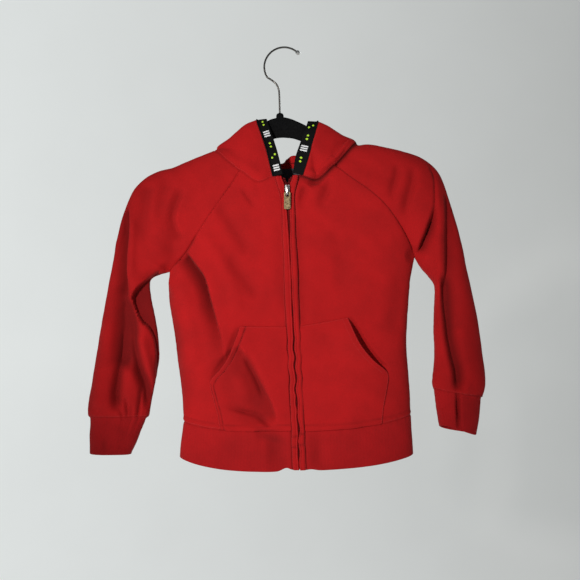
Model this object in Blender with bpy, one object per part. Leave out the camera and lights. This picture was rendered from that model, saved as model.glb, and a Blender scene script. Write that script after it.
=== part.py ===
"""Child's hooded zip jacket in red fleece, hung on a velvet hanger.

Sizes are in millimetres in the jacket's own frame: x across, y from front to back,
z up, with x 0 and z 0 at the top of the zip. The jacket hangs a little askew, so
place() turns that frame by LEAN and puts the inner top of the hook at the origin.
Each cloth piece is a grid of points on the middle of its cloth, given a wall.
"""
import math

import bpy
from mathutils import Vector

CROWDED = ((169, 0, -110), (98, 0, 52), (78, 11, 42))    # under the arm, top of shoulder
WALL = 2.0            # fleece, and rib
TAPE_WALL = 1.4
SEAM = 0.15           # each piece stops this far short of the seam line
LEAN = math.radians(2.6)
ZIP_TOP = (4.4, -192.1)
ZIP_X = 1.5           # zip line
STRIP = 9.0           # width of the strip each side of the zip
RIGHT, LEFT = -1, 1   # the wearer's sides, as signs of x

RAGLAN_ROWS, BODY_ROWS, SLEEVE_ROWS = 8, 9, 9
ARM_COLS = 18
FRONT_STEPS = (0.0, 0.17, 0.33, 0.48, 0.61, 0.72, 0.81, 0.885, 0.94, 0.98, 1.0)
BACK_COLS = 8
# points of the front's, sleeve's and back's top rows that the hood's columns start from
HOOD_FRONT = (1, 4, 7, 10)
HOOD_SHOULDER = (0, 3, 6, 8, 9, 10, 12, 15, 18)
HOOD_NAPE = (0, 3, 6, 8)

# height, front depth, back depth at the middle of the body
DEPTH = ((60, 19, 13), (31, 20, 14), (9, 21, 16), (-30, 24, 19), (-70, 27, 22),
         (-113, 30, 25), (-200, 33, 28), (-334, 35, 31), (-392, 34, 31))

# front raglan seam from neck to underarm: half width, height, depth
RAGLAN = {
    RIGHT: ((63, 20, 17), (79, -3, 19), (97, -26, 20), (114, -49, 19), (131, -73, 16),
            (149, -95, 8), (168, -113, 0)),
    LEFT: ((68, 22, 17), (88, 3, 19), (110, -14, 21), (130, -34, 21), (146, -57, 18),
           (160, -82, 9), (170, -108, 0))}
# the same seam on the back
RAGLAN_BACK = {
    RIGHT: ((58, 36, 9), (77, 12, 13), (97, -14, 16), (116, -41, 17), (134, -67, 15),
            (152, -91, 7.5), (168, -113, 0)),
    LEFT: ((58, 36, 9), (79, 13, 13), (100, -11, 16), (120, -36, 17), (138, -62, 14),
           (155, -86, 7), (170, -108, 0))}
# shoulder and upper arm outline for the same rows: half width, height, front, back bulge
SHOULDER = {
    RIGHT: ((98, 52, 14, 12), (127, 42, 15, 13), (157, 31, 17, 15), (187, 24, 19, 17),
            (213, 4, 20, 18), (230, -30, 20, 18), (242, -70, 20, 18)),
    LEFT: ((98, 53, 14, 12), (128, 46, 15, 13), (158, 37, 17, 15), (187, 25, 19, 17),
           (209, 4, 20, 18), (221, -34, 20, 18), (230, -72, 20, 18))}
# sleeve from underarm to cuff: outer x, z, inner x, z, front bulge, back bulge
SLEEVE = {
    RIGHT: ((242, -70, 168, -113, 20, 18), (247, -95, 184, -116, 20, 18),
            (252, -119, 197, -124, 19, 18), (258, -146, 197, -147, 18, 18),
            (265, -174, 193, -174, 18, 18), (272, -205, 190, -205, 19, 18),
            (279, -239, 190, -233, 20, 18), (285, -270, 195, -261, 21, 18),
            (290, -294, 202, -290, 20, 17), (291, -309, 207, -312, 17, 15)),
    LEFT: ((230, -72, 170, -108, 20, 18), (235, -97, 179, -124, 20, 18),
           (239, -122, 188, -136, 20, 18), (244, -151, 196, -151, 20, 18),
           (248, -180, 195, -180, 20, 18), (252, -212, 193, -210, 20, 18),
           (255, -240, 192, -239, 20, 18), (257, -268, 189, -264, 20, 17),
           (256, -289, 187, -281, 18, 15), (252, -304, 188, -290, 16, 14))}
# cuff below its seam: outer x, z, inner x, z, front, back
CUFF = {
    RIGHT: ((288, -313, 212, -316, 16, 15), (290, -338, 224, -341, 16, 15),
            (291, -361, 235, -364, 15, 14)),
    LEFT: ((250, -306, 189, -293, 15, 14), (247, -331, 191, -318, 15, 14),
           (241, -355, 194, -341, 14, 13))}
# side seam: height, half width
SIDE = {
    RIGHT: ((-113, 168), (-141, 170), (-181, 167), (-220, 163), (-259, 159), (-298, 157),
            (-320, 156)),
    LEFT: ((-108, 170), (-127, 165), (-147, 161), (-199, 155), (-231, 153), (-262, 153),
           (-293, 154), (-323, 154))}
# hem band from seam to edge: half width at the side, height at the side and the middle
HEM = {RIGHT: ((156, -320, -334.5), (160, -344, -362), (164, -369, -389.5)),
       LEFT: ((154, -323, -336), (153.5, -350, -363), (154, -377, -389.5))}

# pocket's outer edge: height, half width. The mouth is the slanted upper part
POCKET = {
    RIGHT: ((-193, 70), (-211, 77), (-230, 86), (-249, 99), (-267, 115), (-289, 112),
            (-311, 107), (-333, 103)),
    LEFT: ((-188, 75), (-207, 84), (-227, 95), (-247, 109), (-265, 125), (-288, 122),
           (-310, 117), (-332, 113))}
POCKET_TOP = {RIGHT: -196, LEFT: -196}
POCKET_GAPE = {RIGHT: 4.0, LEFT: 8.5}

# largest folds: side, layer (front -1, back 1), width, depth in, then the path
FOLDS = (
    (RIGHT, -1, 13, 7, (150, -88), (116, -128), (100, -165), (94, -225)),
    (RIGHT, -1, 12, 5, (151, -18), (156, -49), (158, -80)),
    (RIGHT, -1, 13, 8, (226, -85), (234, -163), (248, -263), (243, -296)),
    (RIGHT, -1, 17, 13, (196, -136), (207, -152), (194, -190)),
    (RIGHT, -1, 16, 3, (70, -43), (69, -89), (74, -143)),
    (RIGHT, -1, 10, -4, (206, -122), (219, -148), (205, -178), (197, -215)),
    (LEFT, -1, 12, 7, (198, -50), (186, -80), (174, -104)),
    (LEFT, -1, 9, 12, (214, -72), (209, -148), (207, -197), (209, -239), (217, -284)),
    (LEFT, -1, 12, 4, (158, 18), (156, -1), (153, -28)),
    (LEFT, -1, 12, 3, (30, -22), (44, -60), (52, -110)),
    (RIGHT, 1, 14, 6, (150, -88), (112, -130), (80, -190)),
    (LEFT, 1, 14, 6, (150, -84), (118, -126), (96, -180)),
    (RIGHT, 1, 14, 7, (226, -90), (238, -170), (246, -260)),
    (LEFT, 1, 12, 7, (214, -90), (222, -170), (226, -250)),
    (RIGHT, 1, 18, 3, (20, -150), (34, -230), (26, -310)),
)

# hood from neck seam over the shoulders to the fallen crown, read at seven places
# from the taped edge (first) to the centre seam (last): half width, y, height
HOOD_RISE = {
    RIGHT: ((27, -16, 48), (40, -18, 46), (64, -14, 48), (97.5, 2, 57), (81, 8, 46),
            (42, 15, 39), (0, 16, 38)),
    LEFT: ((35, -16, 46), (47, -18, 44), (68, -14, 47), (97.5, 2, 58), (81, 8, 46),
           (42, 15, 39), (0, 16, 38))}
HOOD_BROW = {
    RIGHT: ((36, -6.5, 86), (54, -7, 80), (75, -6, 66), (97, 4, 60), (80, 9.5, 48.5),
            (41, 17, 41.5), (0, 18, 41)),
    LEFT: ((45, -6.5, 79), (59, -7, 74), (78, -6, 64), (97, 4, 60), (80, 9.5, 48.5),
           (41, 17, 41.5), (0, 18, 41))}
HOOD_TOP = {
    RIGHT: ((37, 0, 92), (57, 1, 86), (77, 4, 71), (96.5, 8, 59.5), (79, 13, 48.5),
            (41, 20, 42), (0, 20.5, 42)),
    LEFT: ((46, 0, 85), (61, 1, 79), (80, 4, 69), (96.5, 8, 59.5), (79, 13, 48.5),
           (41, 20, 42), (0, 20.5, 42))}
HOOD_BEHIND = {
    RIGHT: ((37.5, 7, 86), (59, 12, 80), (80, 17, 64), (96, 14, 54), (80, 17, 43),
            (41, 24, 37), (0, 24.5, 37)),
    LEFT: ((45.5, 7, 79), (62, 12, 74), (82, 17, 62), (96, 14, 54), (80, 17, 43),
           (41, 24, 37), (0, 24.5, 37))}
HOOD_BACK = ((37, 31, 42), (62, 35, 34), (86, 33, 12), (96.5, 26, 0), (86, 20.5, 8),
             (46, 25.5, 8), (0, 26.5, 5))
HOOD_SAG = ((38.5, 41, -20), (66, 45, -45), (90, 42, -70), (94.5, 34, -86), (82, 30, -96),
            (45, 32, -100), (0, 32.5, -100))
HOOD_CROWN = ((39, 45, -48), (60, 53, -112), (76, 51, -152), (80, 45, -170), (68, 41, -184),
              (39, 40.5, -196), (0, 41, -204))
HOOD_LIFT = ((38.5, 47, -66), (48, 56, -110), (53, 59, -138), (51, 59, -151), (42, 58, -162),
             (24, 57, -171), (0, 57, -175))
HOOD_EDGE = ((36, 49, -80), (33.5, 51, -86), (29, 52, -91), (23, 53, -95), (16, 54, -98),
             (8, 54.5, -99), (0, 54.5, -99.5))
# rows of the hood, as places between its keys: neck 0, rise 1, brow 2 and so on
HOOD_STEPS = (0, 0.5, 1, 2, 3, 4, 4.6, 5.2, 6, 6.5, 7, 7.5, 8, 9)
# which of those seven places each column of the hood takes at the neck seam
HOOD_PLACES = (0, 0.65, 1.35, 2, 2.35, 2.7, 2.9, 3, 3.1, 3.5, 4.35, 4.65, 5.1, 5.55, 6)
TAPE_WIDTH = 13.5

# hanger's body: half length from its middle, top, underside
HANGER_X = -5.5
HANGER = {
    RIGHT: ((0, 97, 66), (7, 94.5, 66), (16, 89, 64), (31, 80, 58), (52, 69, 51)),
    LEFT: ((0, 97, 66), (7, 92.5, 65), (18, 87, 62), (36, 78, 56), (56, 68, 50))}
HANGER_TIP = {RIGHT: 191, LEFT: 187}
HANGER_THICK = 6.0
HOOK_WIRE = 1.3
HOOK_MIDDLE = (0.0, -27.3)      # of the hook's circle, in the finished frame
HOOK_RADIUS = 27.3

COLOURS = {
    "fleece_red": (0.45, 0.012, 0.018), "rib_red": (0.42, 0.012, 0.018),
    "tape_black": (0.012, 0.012, 0.014), "patch_grey": (0.05, 0.05, 0.055),
    "zip_red": (0.3, 0.01, 0.015), "slider_silver": (0.62, 0.62, 0.6),
    "pull_brass": (0.33, 0.25, 0.14), "velvet_black": (0.01, 0.01, 0.011),
    "hook_metal": (0.2, 0.19, 0.18)}


# ---------------------------------------------------------------- tables and frame

def place(point):
    """A point of the jacket's frame, in metres in the finished frame."""
    x, y, z = point
    c, s = math.cos(LEAN), math.sin(LEAN)
    return Vector((ZIP_TOP[0] + x * c - z * s, y, ZIP_TOP[1] + z * c + x * s)) * 0.001


def spline(p, q, r, s, u):
    return 0.5 * (2 * q + (r - p) * u + (2 * p - 5 * q + 4 * r - s) * u * u
                  + (3 * q - p - 3 * r + s) * u ** 3)


def curve(rows, t):
    """Smooth row of a table at t from 0 to 1, its rows evenly spaced."""
    last = len(rows) - 1
    f = min(max(t, 0.0), 1.0) * last
    i = min(int(f), last - 1)
    around = rows[max(i - 1, 0)], rows[i], rows[i + 1], rows[min(i + 2, last)]
    return tuple(spline(*values, f - i) for values in zip(*around))


def level(rows, z):
    """Smooth row of a table whose first column falls, read at height z."""
    z = min(max(z, rows[-1][0]), rows[0][0])
    i = next(k for k in range(len(rows) - 1) if z >= rows[k + 1][0])
    span = rows[i + 1][0] - rows[i][0]
    u = (z - rows[i][0]) / span

    def slope(k, j):
        a, b = rows[max(k - 1, 0)], rows[min(k + 1, len(rows) - 1)]
        return (b[j] - a[j]) / (b[0] - a[0]) * span

    return tuple((2 * u ** 3 - 3 * u * u + 1) * rows[i][j] + (u ** 3 - 2 * u * u + u) * slope(i, j)
                 + (3 * u * u - 2 * u ** 3) * rows[i + 1][j] + (u ** 3 - u * u) * slope(i + 1, j)
                 for j in range(1, len(rows[0])))


def smooth(t):
    t = min(max(t, 0.0), 1.0)
    return t * t * (3 - 2 * t)


def mix(a, b, t):
    return a + (b - a) * t


# ---------------------------------------------------------------- form of the jacket

def fold(x, z, layer):
    """How far the folds push a layer inward at (x, z)."""
    side = LEFT if x > 0 else RIGHT
    total = 0.0
    for of_side, of_layer, width, depth, *path in FOLDS:
        if of_side != side or of_layer != layer:
            continue
        best, where = 1e9, 0.0
        for k in range(len(path) - 1):
            (ax, az), (bx, bz) = path[k], path[k + 1]
            dx, dz = bx - ax, bz - az
            u = ((abs(x) - ax) * dx + (z - az) * dz) / (dx * dx + dz * dz)
            u = min(max(u, 0.0), 1.0)
            away = math.hypot(abs(x) - ax - dx * u, z - az - dz * u)
            if away < best:
                best, where = away, (k + u) / (len(path) - 1)
        ends = smooth(where / 0.2 + 0.25) * smooth((1 - where) / 0.25 + 0.15)
        total += depth * ends * math.exp(-(best / width) ** 2)
    return total


def press(y, x, z):
    """Depth y with the folds in it, less and less towards the outline."""
    layer = -1 if y < 0 else 1
    give = min(1.0, abs(y) / 12.0)
    return y - layer * min(fold(x, z, layer) * give, abs(y) * 0.85)


def body_depth(x, z, layer):
    """Depth of the body's front (-1) or back (1) at (x, z)."""
    side = LEFT if x > ZIP_X else RIGHT
    seam = (RAGLAN if layer < 0 else RAGLAN_BACK)[side]
    middle = level(DEPTH, z)[0 if layer < 0 else 1]
    if z > seam[-1][1]:
        wide, edge = level([(row[1], row[0], row[2]) for row in seam], z)
    elif z > HEM[side][0][1]:
        wide, edge = level(SIDE[side], z)[0], 0.0
    else:
        wide, edge = level([(row[1], row[0]) for row in HEM[side]], z)[0], 0.0
    u = min(abs(x) / wide, 1.0)
    round_off = 1 - (1 - u ** 2.3) ** (1 / 2.3)
    y = layer * mix(middle, edge, round_off)
    return press(y, x, z)


def body_rows(side, layer):
    """Outer edge of the front or back, a row at a time, from neck to hem seam."""
    seam = (RAGLAN if layer < 0 else RAGLAN_BACK)[side]
    rows = []
    for k in range(RAGLAN_ROWS + 1):
        x, z, y = curve(seam, k / RAGLAN_ROWS)
        rows.append((side * x, layer * y, z))
    top, foot = seam[-1][1], HEM[side][0][1]
    for k in range(1, BODY_ROWS + 1):
        z = mix(top, foot, k / BODY_ROWS)
        rows.append((side * level(SIDE[side], z)[0], 0.0, z))
    return rows


def front_rows(side):
    edge = body_rows(side, -1)
    count = len(edge) - 1
    start = ZIP_X + side * STRIP
    rows = []
    for k, (ex, ey, ez) in enumerate(edge):
        t = k / count
        inner = zip_height(k, side)
        row = []
        for s in FRONT_STEPS:
            x = mix(start, ex, s)
            z = mix(inner, ez, s ** mix(2, 3, t))
            z -= 9 * max(0, 1 - k / 4) ** 2 * math.sin(math.pi * s) ** 2
            row.append((x, body_depth(x, z, -1), z))
        row[-1] = (ex, ey, ez)
        if k == RAGLAN_ROWS:
            soften_pit(row)
        rows.append(row)
    rows[0] = snap(rows[0], HOOD_FRONT)
    return rows


def soften_pit(row):
    """Eases the last points of a row towards the underarm, where four pieces meet."""
    for j, share in ((-2, 0.5), (-3, 0.85)):
        x, y, z = row[j]
        row[j] = (x, y * share, z)


def zip_height(k, side):
    """Height of row k at the zip: RAGLAN_ROWS rows, then BODY_ROWS to the hem seam."""
    under, foot = -122, HEM[side][0][2]
    if k <= RAGLAN_ROWS:
        return mix(9, under, k / RAGLAN_ROWS)
    return mix(under, foot, (k - RAGLAN_ROWS) / BODY_ROWS)


def back_rows():
    """Right half, centre, left half of the back in one row."""
    edges = {side: body_rows(side, 1) for side in (RIGHT, LEFT)}
    count = len(edges[RIGHT]) - 1
    rows = []
    for k in range(count + 1):
        middle = mix(31, -122, k / RAGLAN_ROWS) if k <= RAGLAN_ROWS else \
            mix(-122, -332, (k - RAGLAN_ROWS) / BODY_ROWS)
        halves = {}
        for side in (RIGHT, LEFT):
            ex, ey, ez = edges[side][k]
            half = []
            for j in range(BACK_COLS + 1):
                s = math.sin(math.pi / 2 * j / BACK_COLS)
                x = ex * s
                z = mix(middle, ez, s * s)
                half.append((x, body_depth(x if j else 0.001 * side, z, 1), z))
            half[-1] = (ex, ey, ez)
            if k == RAGLAN_ROWS:
                soften_pit(half)
            if k == 0:
                half = snap(half, HOOD_NAPE)
            halves[side] = half
        halves[LEFT][0] = halves[RIGHT][0]
        rows.append(halves[RIGHT][::-1] + halves[LEFT][1:])
    return rows


BETWEEN = {}          # points moved onto a straight seam: its two ends and the place


def key(point):
    return tuple(round(v, 2) for v in point)


def snap(points, kept):
    """Moves the points between the kept ones onto the straight lines between them."""
    points = [Vector(p) for p in points]
    for a, b in zip(kept, kept[1:]):
        along = points[b] - points[a]
        for k in range(a + 1, b):
            u = (points[k] - points[a]).dot(along) / along.length_squared
            u = min(max(u, 0.02), 0.98)
            points[k] = points[a] + along * u
            BETWEEN[key(points[k])] = key(points[a]), key(points[b]), u
    return [tuple(p) for p in points]


def arc(v, edge, bulge, crease):
    """Depth across one layer of the sleeve, from its seam (v 0) to its outline (v 1)."""
    if v >= 0.5:
        return bulge * math.sqrt(max(0.0, 1 - (2 * v - 1) ** 2))
    flat, full = smooth(2 * v), math.sqrt(max(0.0, 1 - (1 - 2 * v) ** 2))
    return mix(edge, bulge, mix(flat, full, crease))


def sleeve_rows(side):
    half = ARM_COLS // 2
    rows = []
    for k in range(RAGLAN_ROWS + SLEEVE_ROWS + 1):
        if k <= RAGLAN_ROWS:
            t = k / RAGLAN_ROWS
            front, back = curve(RAGLAN[side], t), curve(RAGLAN_BACK[side], t)
            ox, oz, front_bulge, back_bulge = curve(SHOULDER[side], t)
            crease = t ** 3
        else:
            t = (k - RAGLAN_ROWS) / SLEEVE_ROWS
            ox, oz, ix, iz, front_bulge, back_bulge = curve(SLEEVE[side], t)
            front = back = (ix, iz, 0.0)
            crease = 1.0
        row = []
        for j in range(ARM_COLS + 1):
            layer = -1 if j <= half else 1
            w = j / half if j <= half else (ARM_COLS - j) / half
            seam = front if layer < 0 else back
            v = 0.5 - 0.5 * math.cos(math.pi * w)
            x, z = mix(seam[0], ox, v), mix(seam[1], oz, v)
            bulge = front_bulge if layer < 0 else back_bulge
            y = layer * arc(v, seam[2], bulge, crease)
            if 0 < j < ARM_COLS and abs(y) > 0.5:
                y = press(y, side * x, z)
            row.append((side * x, y, z))
        rows.append(row)
    for k in range(RAGLAN_ROWS + 1):          # both raglan seams as the body has them
        rows[k][0] = body_rows(side, -1)[k]
        rows[k][-1] = body_rows(side, 1)[k]
    rows[0] = snap(rows[0], HOOD_SHOULDER)
    return rows


def cuff_rows(side, sleeve_end):
    half = ARM_COLS // 2
    rows = [list(sleeve_end)]
    for ox, oz, ix, iz, front, back in CUFF[side]:
        row = []
        for j in range(ARM_COLS + 1):
            layer = -1 if j <= half else 1
            w = j / half if j <= half else (ARM_COLS - j) / half
            v = 0.5 - 0.5 * math.cos(math.pi * w)
            y = (front if layer < 0 else -back) * -math.sqrt(max(0.0, 1 - (2 * v - 1) ** 2))
            row.append((side * mix(ix, ox, v), y, mix(iz, oz, v)))
        rows.append(row)
    return rows


def hem_rows(fronts, back):
    """Hem band: from the right strip round the back to the left strip."""
    top = fronts[RIGHT][-1] + back[-1][1:-1] + fronts[LEFT][-1][::-1]
    rows = [top]
    for k in (1, 2):
        row = []
        for j, (x, y, z) in enumerate(top):
            side = LEFT if x > ZIP_X else RIGHT
            wide, side_z, middle_z = HEM[side][k]
            at = abs(x) / HEM[side][0][0]
            start = ZIP_X + side * STRIP
            if j in (0, len(top) - 1):
                nx = start
            else:
                nx = side * at * wide
            nz = mix(middle_z + (0 if y < 0 else 8), side_z, min(at, 1.0) ** 3)
            depth = 0.0 if abs(y) < 0.01 else body_depth(nx, nz, -1 if y < 0 else 1)
            row.append((nx, depth, nz))
        rows.append(row)
    return rows


def strip_rows(side, front, hem, wide_from=STRIP):
    """Strip beside the zip, from its folded edge to the seam with the front and hem."""
    seam = [row[0] for row in front] + [row[0 if side == RIGHT else -1] for row in hem[1:]]
    rows = []
    for x, y, z in seam:
        slit = 0.55 + 3.5 * smooth((z + 40) / 18)
        row = []
        for s in (0.0, 0.5, 1.0):
            nx = mix(ZIP_X + side * slit, x, s)
            row.append((nx, body_depth(nx, z, -1) if s < 1 else y, z))
        rows.append(row)
    return rows


def pocket_rows(side):
    rows = []
    table = POCKET[side]
    start = ZIP_X + side * STRIP
    for k, (z_out, wide) in enumerate(table):
        z_in = mix(POCKET_TOP[side], HEM[side][0][2], k / (len(table) - 1))
        row = []
        for s in (0.0, 0.2, 0.4, 0.58, 0.74, 0.88, 1.0):
            x = mix(start, side * wide, s)
            z = mix(z_in, z_out, s)
            if k == len(table) - 1:
                z = mix(HEM[side][0][2], HEM[side][0][1], (abs(x) / HEM[side][0][0]) ** 3)
            mouth = math.sin(math.pi * min(k / 4, 1.0)) if k < 4 else 0.0
            puff = 2.5 * math.sin(math.pi * s) * math.sin(math.pi * k / (len(table) - 1))
            out = WALL + 0.9 + puff + POCKET_GAPE[side] * mouth * smooth((s - 0.45) / 0.55)
            row.append((x, body_depth(x, z, -1) - out, z))
        rows.append(row)
    return rows


def hood_rows(side, neck):
    """Rows of one hood half from the neck seam to the edge of the fallen crown."""
    keys = (HOOD_RISE[side], HOOD_BROW[side], HOOD_TOP[side], HOOD_BEHIND[side], HOOD_BACK,
            HOOD_SAG, HOOD_CROWN, HOOD_LIFT, HOOD_EDGE)
    columns = []
    last = len(neck) - 1
    for j, start in enumerate(neck):
        path = [start]
        for k, row in enumerate(keys):
            a = mix(HOOD_PLACES[j] / HOOD_PLACES[-1], j / last, min((k + 1) / 4, 1.0))
            x, y, z = curve(row, a)
            path.append((side * x if j < last else 0.0, y, z))
        columns.append([curve(path, k / len(keys)) for k in HOOD_STEPS])
    return [[column[k] for column in columns] for k in range(len(HOOD_STEPS))]


def tape_rows(hoods):
    """Binding tape: it carries the hood's cloth on past the edge of its opening."""
    edge = [(row[0], row[1]) for row in hoods[RIGHT][:-1]]
    edge += [(hoods[RIGHT][-1][0], hoods[RIGHT][-2][1])]
    edge += list(zip(hoods[RIGHT][-1], hoods[RIGHT][-2]))[1:]
    edge += list(zip(hoods[LEFT][-1], hoods[LEFT][-2]))[-2:0:-1]
    edge += [(hoods[LEFT][-1][0], hoods[LEFT][-2][1])]
    edge += [(row[0], row[1]) for row in hoods[LEFT][-2::-1]]
    edge = [(Vector(p), Vector(q)) for p, q in edge]
    last = len(edge) - 1
    rows = []
    for k, (p, within) in enumerate(edge):
        along = (edge[min(k + 1, last)][0] - edge[max(k - 1, 0)][0]).normalized()
        away = p - within
        if p.z > 60:                    # it lies level where it crosses the hanger
            away = Vector((away.x, 0, 0))
        away -= along * away.dot(along)
        rows.append([tuple(p), tuple(p + away.normalized() * TAPE_WIDTH)])
    return rows


# ---------------------------------------------------------------- solids

def grid_normals(rows, flip):
    points = [[Vector(p) for p in row] for row in rows]
    normals = [[Vector() for _ in row] for row in rows]
    for i in range(len(rows) - 1):
        for j in range(len(rows[0]) - 1):
            a, b = points[i][j], points[i][j + 1]
            c, d = points[i + 1][j + 1], points[i + 1][j]
            n = (c - a).cross(d - b).normalized() * (-1 if flip else 1)
            for y, x in ((i, j), (i, j + 1), (i + 1, j + 1), (i + 1, j)):
                normals[y][x] += n
    return points, normals


class Cloth:
    """All cloth grids, so that pieces sharing a seam share the direction of their wall."""

    def __init__(self):
        self.grids, self.shared = {}, {}

    def add(self, name, rows, flip=False, wall=WALL, closed=False):
        points, normals = grid_normals(rows, flip)
        self.grids[name] = points, normals, flip, wall, closed
        last_row, last_col = len(rows) - 1, len(rows[0]) - 1
        for i, row in enumerate(points):
            for j, p in enumerate(row):
                if i in (0, last_row) or j in (0, last_col):
                    old = self.shared.get(key(p), Vector())
                    self.shared[key(p)] = old + normals[i][j].normalized()

    def build(self, name):
        points, normals, flip, wall, closed = self.grids[name]
        rows, cols = len(points), len(points[0])
        outer, inner = [], []
        for i in range(rows):
            for j in range(cols):
                p, n = points[i][j], normals[i][j].normalized()
                edge_i, edge_j = i in (0, rows - 1), j in (0, cols - 1) and not closed
                if i in (0, rows - 1) or j in (0, cols - 1):
                    together = self.together(key(p))
                    if together.length > 0.45:
                        n = together.normalized()
                shift = Vector()
                if edge_i:
                    shift += self.inward(p, points[1 if i == 0 else i - 1][j], n)
                if edge_j:
                    shift += self.inward(p, points[i][1 if j == 0 else j - 1], n)
                p = p + shift * self.stop_short(p)
                outer.append(p + n * wall / 2)
                inner.append(p - n * wall / 2)
        return self.solid(points, outer + inner, flip, closed)

    def together(self, at):
        """Direction of the wall on a seam, from all the pieces that meet there."""
        if at not in BETWEEN:
            return self.shared[at]
        a, b, u = BETWEEN[at]
        return self.shared[a].normalized().lerp(self.shared[b].normalized(), u)

    @staticmethod
    def stop_short(p):
        """The gap at a seam, a little more where several pieces meet at sharp angles."""
        near = min((p - Vector((s * x, y, z))).length
                   for s in (RIGHT, LEFT) for x, y, z in CROWDED)
        return mix(0.45, SEAM, min(near / 30, 1.0))

    @staticmethod
    def inward(p, q, n):
        d = q - p
        d -= n * d.dot(n)
        return d.normalized() if d.length > 1e-6 else Vector()

    @staticmethod
    def solid(points, walls, flip, closed):
        """Both faces and the rim, each quad split along its shorter diagonal."""
        rows, cols = len(points), len(points[0])
        wrap = cols - 1 if closed else cols

        def at(i, j):
            return i * cols + (j % wrap)

        faces, base = [], len(walls) // 2
        for i in range(rows - 1):
            for j in range(cols - 1):
                a, b, c, d = at(i, j), at(i, j + 1), at(i + 1, j + 1), at(i + 1, j)
                p, q, r, t = (points[v // cols][v % cols] for v in (a, b, c, d))
                halves = ((d, b, a), (d, c, b))
                if (p - r).length < (q - t).length:
                    halves = ((c, b, a), (d, c, a))
                for x, y, z in halves:
                    faces += [(x, y, z), (base + z, base + y, base + x)]
        rim = []
        for j in range(cols - 1):
            rim += [(at(0, j), at(0, j + 1)), (at(rows - 1, j + 1), at(rows - 1, j))]
        if not closed:
            for i in range(rows - 1):
                rim += [(at(i + 1, 0), at(i, 0)), (at(i, cols - 1), at(i + 1, cols - 1))]
        for a, b in rim:                # split alike on both sides of a seam
            p, q = points[a // cols][a % cols], points[b // cols][b % cols]
            if (p.z, p.x) > (q.z, q.x):
                faces += [(a, b, base + b), (a, base + b, base + a)]
            else:
                faces += [(a, b, base + a), (b, base + b, base + a)]
        if flip:
            faces = [face[::-1] for face in faces]
        return walls, faces


def material(slot):
    found = bpy.data.materials.get(slot)
    if found:
        return found
    made = bpy.data.materials.new(slot)
    made.use_nodes = True
    shader = made.node_tree.nodes["Principled BSDF"]
    shader.inputs["Base Color"].default_value = (*COLOURS[slot], 1)
    metal = slot in ("slider_silver", "pull_brass", "hook_metal")
    shader.inputs["Metallic"].default_value = 1.0 if metal else 0.0
    shader.inputs["Roughness"].default_value = 0.35 if metal else 0.9
    return made


def make(name, points, faces, slot, placed=False):
    """A closed body as its own object in its own collection."""
    points = [Vector(p) * 0.001 if placed else place(p) for p in points]
    volume = sum(points[f[0]].dot(points[f[k]].cross(points[f[k + 1]]))
                 for f in faces for k in range(1, len(f) - 1))
    if volume < 0:
        faces = [face[::-1] for face in faces]
    used = sorted({v for face in faces for v in face})
    index = {v: k for k, v in enumerate(used)}
    mesh = bpy.data.meshes.new(name)
    mesh.from_pydata([points[v] for v in used], [], [[index[v] for v in f] for f in faces])
    mesh.materials.append(material(slot))
    mesh.validate()
    body = bpy.data.objects.new(name, mesh)
    home = bpy.data.collections.new(name)
    bpy.context.scene.collection.children.link(home)
    home.objects.link(body)
    return body


def rings(loops):
    """Points and faces of a body through closed loops of equal count, ends capped."""
    count = len(loops[0])
    points = [p for loop in loops for p in loop]
    faces = []
    for i in range(len(loops) - 1):
        for j in range(count):
            a, b = i * count + j, i * count + (j + 1) % count
            faces.append((a, b, b + count, a + count))
    faces.append(tuple(range(count))[::-1])
    faces.append(tuple(range(len(points) - count, len(points))))
    return points, faces


def box(low, high):
    x, y, z = zip(low, high)
    return rings([[(x[0], y[0], h), (x[1], y[0], h), (x[1], y[1], h), (x[0], y[1], h)]
                  for h in z])


# ---------------------------------------------------------------- hard pieces

def hanger_body():
    """Velvet body: the same rounded section along its arms, under the shoulders."""
    stations = []
    for side in (RIGHT, LEFT):
        half = [(side * d + HANGER_X, top, foot) for d, top, foot in HANGER[side]]
        tip = HANGER_TIP[side]
        reach = [row for row in (curve(SHOULDER[side], k / 32) for k in range(33))
                 if 112 < row[0] < tip - 3]
        half.append((side * 98, 45.5, 27.5))
        for x, z, *_ in reach[::2]:
            top = z - 2.4
            half.append((side * x, top, top - mix(17, 12, (x - 98) / (tip - 98))))
        x, z, *_ = reach[-1]
        half.append((side * tip, z - 6.0, z - 11.5))
        stations.append(half)
    order = stations[0][::-1] + stations[1][1:]
    loops = []
    for x, top, foot in order:
        t = HANGER_THICK / 2
        loops.append([(x, -t * 0.4, top), (x, t * 0.4, top), (x, t * 0.85, top - 1.0),
                      (x, t, top - 2.4), (x, t, foot + 1.6), (x, t * 0.5, foot),
                      (x, -t * 0.5, foot), (x, -t, foot + 1.6), (x, -t, top - 2.4),
                      (x, -t * 0.85, top - 1.0)])
    points, faces = rings(loops)
    make("hanger_body", points, faces, "velvet_black")


def tube(path, radii, sides=10):
    """Round bar along points in one upright plane, each with its own radius."""
    loops = []
    for k, (x, z) in enumerate(path):
        a, b = path[max(k - 1, 0)], path[min(k + 1, len(path) - 1)]
        length = math.hypot(b[0] - a[0], b[1] - a[1])
        nx, nz = -(b[1] - a[1]) / length, (b[0] - a[0]) / length
        ring = []
        for j in range(sides):
            angle = 2 * math.pi * j / sides
            r = radii[k]
            ring.append((x + nx * r * math.cos(angle), r * math.sin(angle),
                         z + nz * r * math.cos(angle)))
        loops.append(ring)
    return rings(loops)


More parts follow.
